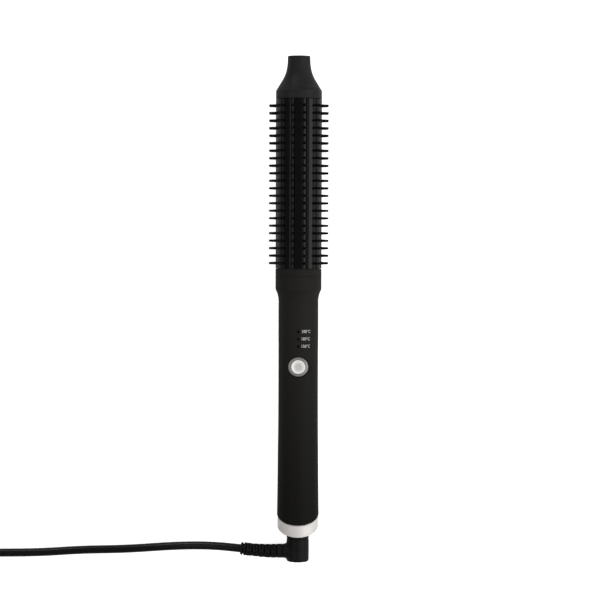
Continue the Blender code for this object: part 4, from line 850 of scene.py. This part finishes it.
def build_button():
    """The bezel and the dished cap. The cap's vertices say how far out they are as rim."""
    bezel = soft(
        [
            (5.35, 9.2, 0), (6.0, 9.2, 0), (6.0, 11.2, 0), (6.95, 11.2, 0), (6.95, 11.9, 0.2),
            (6.5, 12.4, 0.4), (5.8, 12.65, 0.3), (5.35, 12.65, 0.06), (5.35, 9.2, 0),
        ]
    )[:-1]
    shape = upright(turned(bezel, closed=True), BUTTON_PLACE)
    show("bezel_fine", mesh_of(shape), BEZEL_METAL, "brush", ["button_bezel"], "grey_metal")
    edge = soft([(4.35, 12.99, 0), (BUTTON_RADIUS, 13.0, 0.35), (BUTTON_RADIUS, 8.9, 0)])[1:]
    stem = [(5.7, 8.9), (5.7, 8.1), (1.7, 8.1), (1.7, 7.8), (0, 7.8)]
    shape = turned([*BUTTON_DISH, *edge, *stem])
    rim = shape.verts.layers.float.new("rim")
    for vert in shape.verts:
        vert[rim] = math.hypot(vert.co.x, vert.co.z) / BUTTON_RADIUS
    cap = mesh_of(upright(shape, BUTTON_PLACE))
    show("button_fine", cap, BUTTON_METAL, "button", ["power_button"], "brushed_metal")


def build_lights():
    """A bar inside the handle with three pins that end in the lights' holes."""
    foot, top = 5.5, 13.5
    pins = [block((-1.2, LIGHT_PLACES[2] - 1.2, foot), (1.2, LIGHT_PLACES[0] + 1.2, foot + 1.5))]
    for u in LIGHT_PLACES:
        pin = turned(soft([(0, foot + 1, 0), (0.7, foot + 1, 0), (0.7, top, 0.3), (0, top, 0)]), 24)
        pins.append(upright(pin, u))
    show("light_pins", mesh_of(joined(*pins)), SMOKED, "brush", ["light_guide"], "light_guide")


def wrapped_text(words, middle):
    """Letters as thin raised print that follows the handle's round."""
    curve = bpy.data.curves.new("print", "FONT")
    curve.body = words
    curve.size = PRINT_HEIGHT / CAPITAL_SHARE
    curve.extrude = 0.012
    curve.space_character = 1.02
    shape = bmesh.new()
    shape.from_mesh(plain_mesh(put("print", curve)))
    bmesh.ops.remove_doubles(shape, verts=shape.verts, dist=0.0005)
    low_x = min(v.co.x for v in shape.verts)
    high_x = max(v.co.x for v in shape.verts)
    for k in range(1, 16):
        plane = low_x + (high_x - low_x) * k / 16
        everything = shape.verts[:] + shape.edges[:] + shape.faces[:]
        bmesh.ops.bisect_plane(shape, geom=everything, plane_co=(plane, 0, 0), plane_no=(1, 0, 0))
    for vert in shape.verts:
        angle = (PRINT_LEFT + (vert.co.x - low_x) * LETTER_WIDTH) / HANDLE_RADIUS
        r = HANDLE_RADIUS * 1.002 + 0.035 + vert.co.z
        vert.co = (r * math.sin(angle), middle + vert.co.y - PRINT_HEIGHT / 2, r * math.cos(angle))
    return shape


def build_print():
    """Generic temperatures beside the lights."""
    words = ("200°C", "180°C", "150°C")
    shapes = [wrapped_text(word, u + 0.2) for word, u in zip(words, LIGHT_PLACES)]
    show("temperature_print", mesh_of(joined(*shapes), 60), PRINT, "brush")


# Swivel, strain relief and cord


def build_boot():
    """Spindle, neck and body, with the side arm blended into it."""
    neck = END_RING_END + 10.0
    groove = neck + 17.3
    low = END_RING_END + 0.6
    seam = END_RING_END - 8.6
    body = soft(
        [
            (0, groove + 11.2, 0), (3.9, groove + 11.2, 0), (3.9, groove + 2.6, 0),
            (5.0, groove + 2.6, 0), (5.0, groove + 1.8, 0), (4.2, groove + 1.8, 0), (4.2, groove, 0),
            (5.0, groove, 0), (5.0, neck, 0), (NECK_RADIUS, neck, 0.2),
            (NECK_RADIUS, low, 0.05), (NECK_RADIUS + 0.18, low - 0.2, 0.05),
            (NECK_RADIUS + 0.18, low - 3.7, 0.1), (NECK_RADIUS + 0.43, low - 4.0, 0.1),
            (NECK_RADIUS + 0.43, seam + 0.3, 0.1), (NECK_RADIUS - 0.1, seam + 0.22, 0.05),
            (NECK_RADIUS - 0.1, seam - 0.22, 0.05), (NECK_RADIUS + 0.45, seam - 0.3, 0.1),
            (BOOT_RADIUS, BOOT_TOP, 0.5), (BOOT_RADIUS, BOOT_END + 1.6, 0.5),
            (BOOT_RADIUS - 0.4, BOOT_END + 0.4, 0.5), (BOOT_RADIUS - 1.6, BOOT_END, 0.4),
            (0, BOOT_END, 0),
        ],
        6,
    )
    mesh = eased(mesh_of(turned(body), 30), 0.2, 50)
    mesh = smooth(cut(mesh, side_arm(), "UNION"), 30)
    show("boot_fine", mesh, BOOT_RUBBER, "cord_swivel", ["swivel_boot"], "cord_rubber")


def side_arm():
    """The boot's side arm, which flows out of the boot's wall in a fillet."""
    fillet = [(ARM_FILLET * (1 - s), ARM_FILLET * (1 - c)) for s, c in spokes(32)[:9]]
    rows = []
    for grow, out in [(ARM_FILLET, -1.5), *fillet]:
        ring = [((ARM_RADIUS + grow) * c, (ARM_RADIUS + grow) * s) for s, c in spokes(ROUND)]
        rows.append([(-math.sqrt(BOOT_RADIUS**2 - h**2) - out, u, h) for u, h in ring])
    for r, reach in ((ARM_RADIUS, ARM_REACH - ARM_EDGE), (ARM_RADIUS - ARM_EDGE, ARM_REACH)):
        rows.append([(-reach, r * c, r * s) for s, c in spokes(ROUND)])
    shape = bmesh.new()
    rows = [[shape.verts.new((x, ARM_PLACE + u, h)) for x, u, h in row] for row in rows]
    skin(shape, rows)
    shape.faces.new(rows[0])
    shape.faces.new(rows[-1])
    return shape


def route_points():
    """The cord's centre in world millimetres, from the boot's arm to the end of its tail."""
    exit_place = LAY @ Vector((-ARM_REACH - GAP, ARM_PLACE, 0)) / MM
    lead = flowing([tuple(exit_place), *CORD_ROUTE], 5)
    lead = [p for p in lead if p[0] > COIL_X + 5.9]
    turns = []
    for k in range(round(COIL_TURNS * 48) + 1):
        turn = k / 48
        angle = -QUARTER - FULL * turn
        r = COIL_INNER + COIL_PITCH * abs(COIL_TURNS / 2 - turn)
        height = COIL_BASE + COIL_PITCH * gently(turn - COIL_TURNS / 2, -0.25, 0.25)
        turns.append((COIL_X + r * math.cos(angle), COIL_Y + r * math.sin(angle), height))
    x, y, high = turns[-1]
    tail = []
    for k in range(1, 17):
        share = k / 16
        tail.append((x, y + TAIL_LENGTH * share, high + (PLUG_LOW - high) * gently(share, 0.2, 0.8)))
    return lead + turns + tail


def build_cord():
    """One curve from the boot's arm, through its strain relief, lead and coil, to the plug."""
    points = [Vector(p) * MM for p in route_points()]
    curve = bpy.data.curves.new("mains_cord", "CURVE")
    curve.dimensions = "3D"
    curve.bevel_depth = CORD_RADIUS * MM
    curve.bevel_resolution = 6
    curve.use_fill_caps = True
    spline = curve.splines.new("POLY")
    spline.points.add(len(points) - 1)
    for point, place in zip(spline.points, points):
        point.co = (*place, 1)
    curve.materials.append(CORD_COVER)
    cord = put("mains_cord", curve)
    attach(cord, "cord_swivel")
    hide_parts("cord_lead", "cord_coil")
    length = sum((b - a).length for a, b in zip(points, points[1:]))
    print(f"mains cord: {length:.4f} m")
    return cord, points, length


def relief_surface(distance, upward, first):
    """The sleeve's radius and how deep a groove is. Upward is 0 at its sides, 1 above and below."""

    def groove(start):
        off = (distance - start + RELIEF_PITCH / 2) % RELIEF_PITCH - RELIEF_PITCH / 2
        return held(abs(off), 0.5, 0.4)

    for (a, low), (b, high) in zip(RELIEF_SHOULDERS, RELIEF_SHOULDERS[1:]):
        if a <= distance <= b:
            whole = low + (high - low) * (distance - a) / (b - a)
    whole -= 0.06 * held(distance, first + 0.1, first)
    whole -= 0.3 * held(distance, RELIEF_LENGTH - 0.25, RELIEF_LENGTH)
    crossing, halfway = groove(RELIEF_FIRST_GROOVE), groove(RELIEF_FIRST_GROOVE + RELIEF_PITCH / 2)
    if distance < RELIEF_LAST_RIB:
        depth = (0.3 + 1.2 * held(upward, 0.12, 0.3)) * crossing
    else:
        depth = 0.95 * halfway
    if RELIEF_FIRST_GROOVE < distance < RELIEF_FIRST_GROOVE + RELIEF_PITCH * 5:
        depth += 1.3 * held(upward, 0.12, 0.25) * held(upward, 0.985, 0.95) * halfway
    return max(whole - depth, CORD_RADIUS + 0.3), min(depth / 0.9, 1)


def build_relief(points):
    """A tapered sleeve along the cord: fine grooves across it, and shorter ones between them."""
    line = [p / MM for p in points]
    first = -GAP - 0.06
    line.insert(0, line[0] + (line[1] - line[0]).normalized() * first)
    along = [first]
    for a, b in zip(line, line[1:]):
        along.append(along[-1] + (b - a).length)
    shape = bmesh.new()
    # Each vertex carries how deep its groove is; the relief's finish turns that into painted shade.
    groove_shade_layer = shape.verts.layers.float.new("groove")

    def centre(distance):
        k = sum(1 for place in along[1:-1] if place < distance)
        return line[k].lerp(line[k + 1], (distance - along[k]) / (along[k + 1] - along[k]))

    def ring(distance, bore):
        middle = centre(distance)
        ahead = (centre(distance + 0.4) - centre(distance - 0.4)).normalized()
        side = ahead.cross(Vector((0, 0, 1))).normalized()
        up = side.cross(ahead)
        made = []
        for s, c in spokes(RELIEF_SIDES):
            r, depth = (CORD_RADIUS + 0.1, 1.0) if bore else relief_surface(distance, abs(s), first)
            made.append(shape.verts.new(middle + (side * c + up * s) * r))
            made[-1][groove_shade_layer] = depth
        return made

    whole = RELIEF_LENGTH - first
    loops = [ring(first + whole * k / RELIEF_STEPS, False) for k in range(RELIEF_STEPS + 1)]
    loops += [ring(first + whole * k / 20, True) for k in range(20, -1, -1)]
    skin(shape, loops, closed=True)
    mesh = mesh_of(shape, 50)
    return show("relief_fine", mesh, RELIEF_RUBBER, "cord_swivel", ["strain_relief"], "cord_rubber", SCALE)


def build_tie():
    """A band round the coil's turns, its free end pressed down on top."""
    first = ((-QUARTER - TIE_ANGLE) % FULL) / FULL
    turns = [first + k for k in range(8) if first + k <= COIL_TURNS]
    radii = [COIL_INNER + COIL_PITCH * abs(COIL_TURNS / 2 - t) for t in turns]
    near = math.sqrt(min(radii) ** 2 - TIE_HALF_WIDTH**2)
    low = (near - CORD_RADIUS - GAP, 0.9)
    high = (max(radii) + CORD_RADIUS + GAP, COIL_BASE + COIL_PITCH + CORD_RADIUS + GAP)

    def loop(grow):
        bend = TIE_BEND + grow
        left, right = low[0] - grow + bend, high[0] + grow - bend
        under, over = low[1] - grow + bend, high[1] + grow - bend
        made = []
        for quarter, (x, z) in enumerate(((right, over), (left, over), (left, under), (right, under))):
            for k in range(9):
                angle = (quarter + k / 8) * QUARTER
                made.append(Vector((x + bend * math.cos(angle), z + bend * math.sin(angle))))
        return made

    hole, rim = loop(0.0), loop(TIE_THICKNESS)
    shape = bmesh.new()
    loops = []
    for share, inset in ((-1, 1.0), (-1, 0.2), (-0.97, 0.0), (0.97, 0.0), (1, 0.2), (1, 1.0)):
        places = [a.lerp(b, inset) for a, b in zip(rim, hole)]
        loops.append([shape.verts.new((x, TIE_HALF_WIDTH * share, z)) for x, z in places])
    skin(shape, loops, closed=True)
    flap = block((low[0] + 6, -5.9, high[1] + 0.9), (high[0] - 3.5, 5.9, high[1] + 1.7), 0.3)
    place = SCALE @ Matrix.Translation((COIL_X, COIL_Y, 0)) @ Matrix.Rotation(TIE_ANGLE, 4, "Z")
    mesh = mesh_of(joined(shape, flap), 40)
    return show("tie_fine", mesh, LOOP, "cord_swivel", ["cord_tie"], "tie_fabric", place)


def build_plug():
    """A flat two-pin plug with finger grooves behind its wide end, and half-sleeved pins."""
    x, y, z = route_points()[-1]
    line = [(0.0, 0.20, 0.5), (0.004, 0.235, 0.59), *flowing(PLUG_SHARES, 8)[1:]]
    line += [(0.975, 0.992, 0.985), (0.988, 0.972, 0.95), (0.996, 0.945, 0.905), (1.0, 0.90, 0.84)]
    shape = bmesh.new()
    rows = []
    for along, wide, tall in line:
        grip = 1 - 0.05 * max(0, math.sin(along * PLUG_LENGTH / 1.1)) * (0.03 < along < 0.26)
        half_x, half_z = min(wide, 1) * PLUG_WIDTH / 2 * grip, min(tall, 1) * PLUG_HEIGHT / 2 * grip
        row = []
        for s, c in spokes(72, 0.5):
            px = math.copysign(abs(c) ** 0.5, c) * half_x
            pz = math.copysign(abs(s) ** 0.5, s) * half_z
            row.append(shape.verts.new((px, PLUG_LENGTH * along, pz)))
        rows.append(row)
    skin(shape, rows)
    shape.faces.new(rows[0])
    shape.faces.new(rows[-1])
    mesh = mesh_of(shape, 35)
    sides = {"neutral": Matrix.Translation((-PIN_SIDE, 0, 0)), "live": Matrix.Translation((PIN_SIDE, 0, 0))}
    for at_side in sides.values():
        socket = turned([(0, 35.0), (2.3, 35.0), (2.3, 40.0), (0, 40.0)], 40)
        mesh = cut(mesh, moved(socket, at_side))
    ride = {"body": "cord_swivel", "place": SCALE @ Matrix.Translation((x, y + GAP, z))}
    plastic = {"look": PLUG_PLASTIC, "slot": "plug_plastic", **ride}
    pieces = [show("plug_fine", smooth(mesh, 35), nodes=["plug_body"], **plastic)]
    metal = soft(
        [
            (0, PIN_FOOT, 0), (1.7, PIN_FOOT, 0), (1.7, PIN_SLEEVE_END, 0),
            (2.0, PIN_SLEEVE_END, 0.05), (2.0, PIN_END, 1.0), (0, PIN_END, 0),
        ],
        6,
    )
    low, high = PIN_FOOT + 0.1, PIN_SLEEVE_END - 0.1
    sleeve = [(1.72, low), (2.0, low), (2.0, high), (1.72, high)]
    for name, at_side in sides.items():
        pin = mesh_of(moved(turned(metal, 40), at_side))
        cover = mesh_of(moved(turned(sleeve, 40, closed=True), at_side))
        node = f"plug_pin_{name}"
        pieces.append(show(f"{node}_fine", pin, PIN_METAL, nodes=[node], slot="brass", **ride))
        pieces.append(show(f"pin_sleeve_{name}", cover, **plastic))
    return pieces


# Finishes of the inner pieces, which keep the model's own shapes


def dress_inner_pieces():
    """Gives each of the model's own pieces its finish."""
    add = plain_finish
    looks = (
        (add("bare_aluminium", (0.62, 0.62, 0.63), 0.42, 1.0, 0.5, 0.5, 0.006),
         "heat_spreader_front", "heat_spreader_rear"),
        (add("amber_heater_film", (0.55, 0.3, 0.08), 0.35, 0.0, 0.5, 0.8, 0.006), "heater_plate"),
        (add("heat_resistant_plastic", (0.05, 0.045, 0.04), 0.6), "heat_barrier"),
        (add("sensor_bead_coating", (0.45, 0.42, 0.35), 0.5), "thermistor"),
        (add("fuse_case_metal", (0.55, 0.55, 0.56), 0.3, 1.0, 0.5, 0.3, 0.003), "thermal_fuse"),
        (add("green_board", (0.02, 0.13, 0.05), 0.4, 0.0, 0.5, 0.4, 0.01), "control_board"),
        (add("component_black", (0.03, 0.03, 0.03), 0.5), "push_switch", "triac"),
        # Partly painted shade: the bush is black plastic, made darker still so that the gap between end
        # ring and boot looks shaded.
        (add("bearing_black_painted_gap_shade", (0.003, 0.003, 0.003), 0.6, 0.0, 0.04), "end_bush"),
        (add("capacitor_yellow", (0.6, 0.42, 0.05), 0.45), "film_capacitor"),
        (add("switch_white", (0.7, 0.7, 0.68), 0.5), "switch_plunger"),
        (add("contact_brass", (0.72, 0.52, 0.22), 0.3, 1.0, 0.5, 0.4, 0.004),
         "contact_spring_live", "contact_spring_neutral", "slip_ring_live", "slip_ring_neutral"),
        (add("spring_steel", (0.5, 0.5, 0.5), 0.32, 1.0, 0.5, 0.4, 0.004), "swivel_clip"),
        (add("brown_wire", (0.2, 0.07, 0.02), 0.45), "heater_lead_live", "supply_lead_live"),
        (add("blue_wire", (0.02, 0.08, 0.4), 0.45), "heater_lead_neutral", "supply_lead_neutral"),
    )
    for look, *nodes in looks:
        for node in nodes:
            paint(bpy.data.objects[node].data, look)


# Light, floor and camera


def area_light(name, place, aim, size, power, colour=(1, 1, 1)):
    """A rectangular lamp that faces a point."""
    lamp = bpy.data.lights.new(name, "AREA")
    lamp.shape = "RECTANGLE"
    lamp.size, lamp.size_y = size
    lamp.energy = power
    lamp.color = colour
    made = put(name, lamp)
    made.location = place
    made.rotation_euler = (Vector(aim) - Vector(place)).to_track_quat("-Z", "Y").to_euler()


def build_studio():
    """A world that is lighter to the right, a white floor that glows a little, and four lamps."""
    world = bpy.data.worlds.new("studio")
    bpy.context.scene.world = world
    world.use_nodes = True
    tree = world.node_tree
    where = add_node(tree, "ShaderNodeTexCoord").outputs["Generated"]
    across = add_node(tree, "ShaderNodeSeparateXYZ", {0: where}).outputs["X"]
    ends = {"Value": across, "From Min": 0.0, "From Max": 0.95, "To Min": 0.30, "To Max": 0.85}
    light = add_node(tree, "ShaderNodeMapRange", ends, interpolation_type="SMOOTHSTEP")
    back = tree.nodes["Background"]
    back.inputs["Strength"].default_value = 1.0
    tree.links.new(light.outputs["Result"], back.inputs["Color"])

    shape = bmesh.new()
    bmesh.ops.create_grid(shape, x_segments=1, y_segments=1, size=4.0)
    mesh = bpy.data.meshes.new("floor")
    shape.to_mesh(mesh)
    shape.free()
    paper = Finish("white_paper", (0.86, 0.86, 0.86), 0.9, 0.0, 0.1)
    paper.tint(paper.noise(60.0), 0.995, 1.005)
    rays = paper.add("ShaderNodeLightPath").outputs
    mirrored = paper.math("MAXIMUM", rays["Is Glossy Ray"], rays["Is Transmission Ray"])
    glow = paper.math("MULTIPLY_ADD", rays["Is Camera Ray"], 0.70, 0.0)
    paper.set("Emission Color", (1, 1, 1, 1))
    paper.link(paper.math("MULTIPLY_ADD", mirrored, 0.07, glow), "Emission Strength")
    paint(mesh, paper.done())
    put("floor", mesh)

    warm, soft_warm = (1, 0.985, 0.965), (1, 0.99, 0.975)
    area_light("right_strip", (1.30, 0.0, 0.70), (0, 0, 0.02), (1.7, 0.50), 7.0, warm)
    area_light("upper_right", (0.78, -0.25, 1.35), (0, -0.25, 0.02), (1.5, 0.34), 7.2, soft_warm)
    area_light("upper_left", (-0.86, -0.25, 1.25), (0, -0.25, 0.02), (1.5, 0.56), 4.6)
    area_light("far_left", (-0.75, 1.9, 1.0), (-0.07, -0.17, 0.01), (0.4, 0.7), 10.0)


def build_camera():
    """Straight down, from where the photograph was taken."""
    lens = bpy.data.cameras.new("camera")
    lens.lens = SENSOR * CAMERA_DISTANCE / (PHOTO_SIDE * METRES_PER_PIXEL)
    lens.sensor_width = SENSOR
    lens.clip_start, lens.clip_end = 0.05, 20.0
    camera = put("camera", lens)
    camera.location = (0.0011, 0.00675, 1.552)
    camera.rotation_euler = (0, 0, math.radians(0.17))
    bpy.context.scene.camera = camera


build_camera()
cord, cord_line, cord_length = build_cord()
relief = build_relief(cord_line)
tie = build_tie()
plug_pieces = build_plug()
build_cool_tip()
build_end_rings()
build_barrel()
build_combs()
build_shells()
build_end_ring()
build_button()
build_lights()
build_print()
build_boot()
dress_inner_pieces()
build_studio()
bpy.context.scene.view_settings.view_transform = "Standard"

bpy.context.view_layer.update()
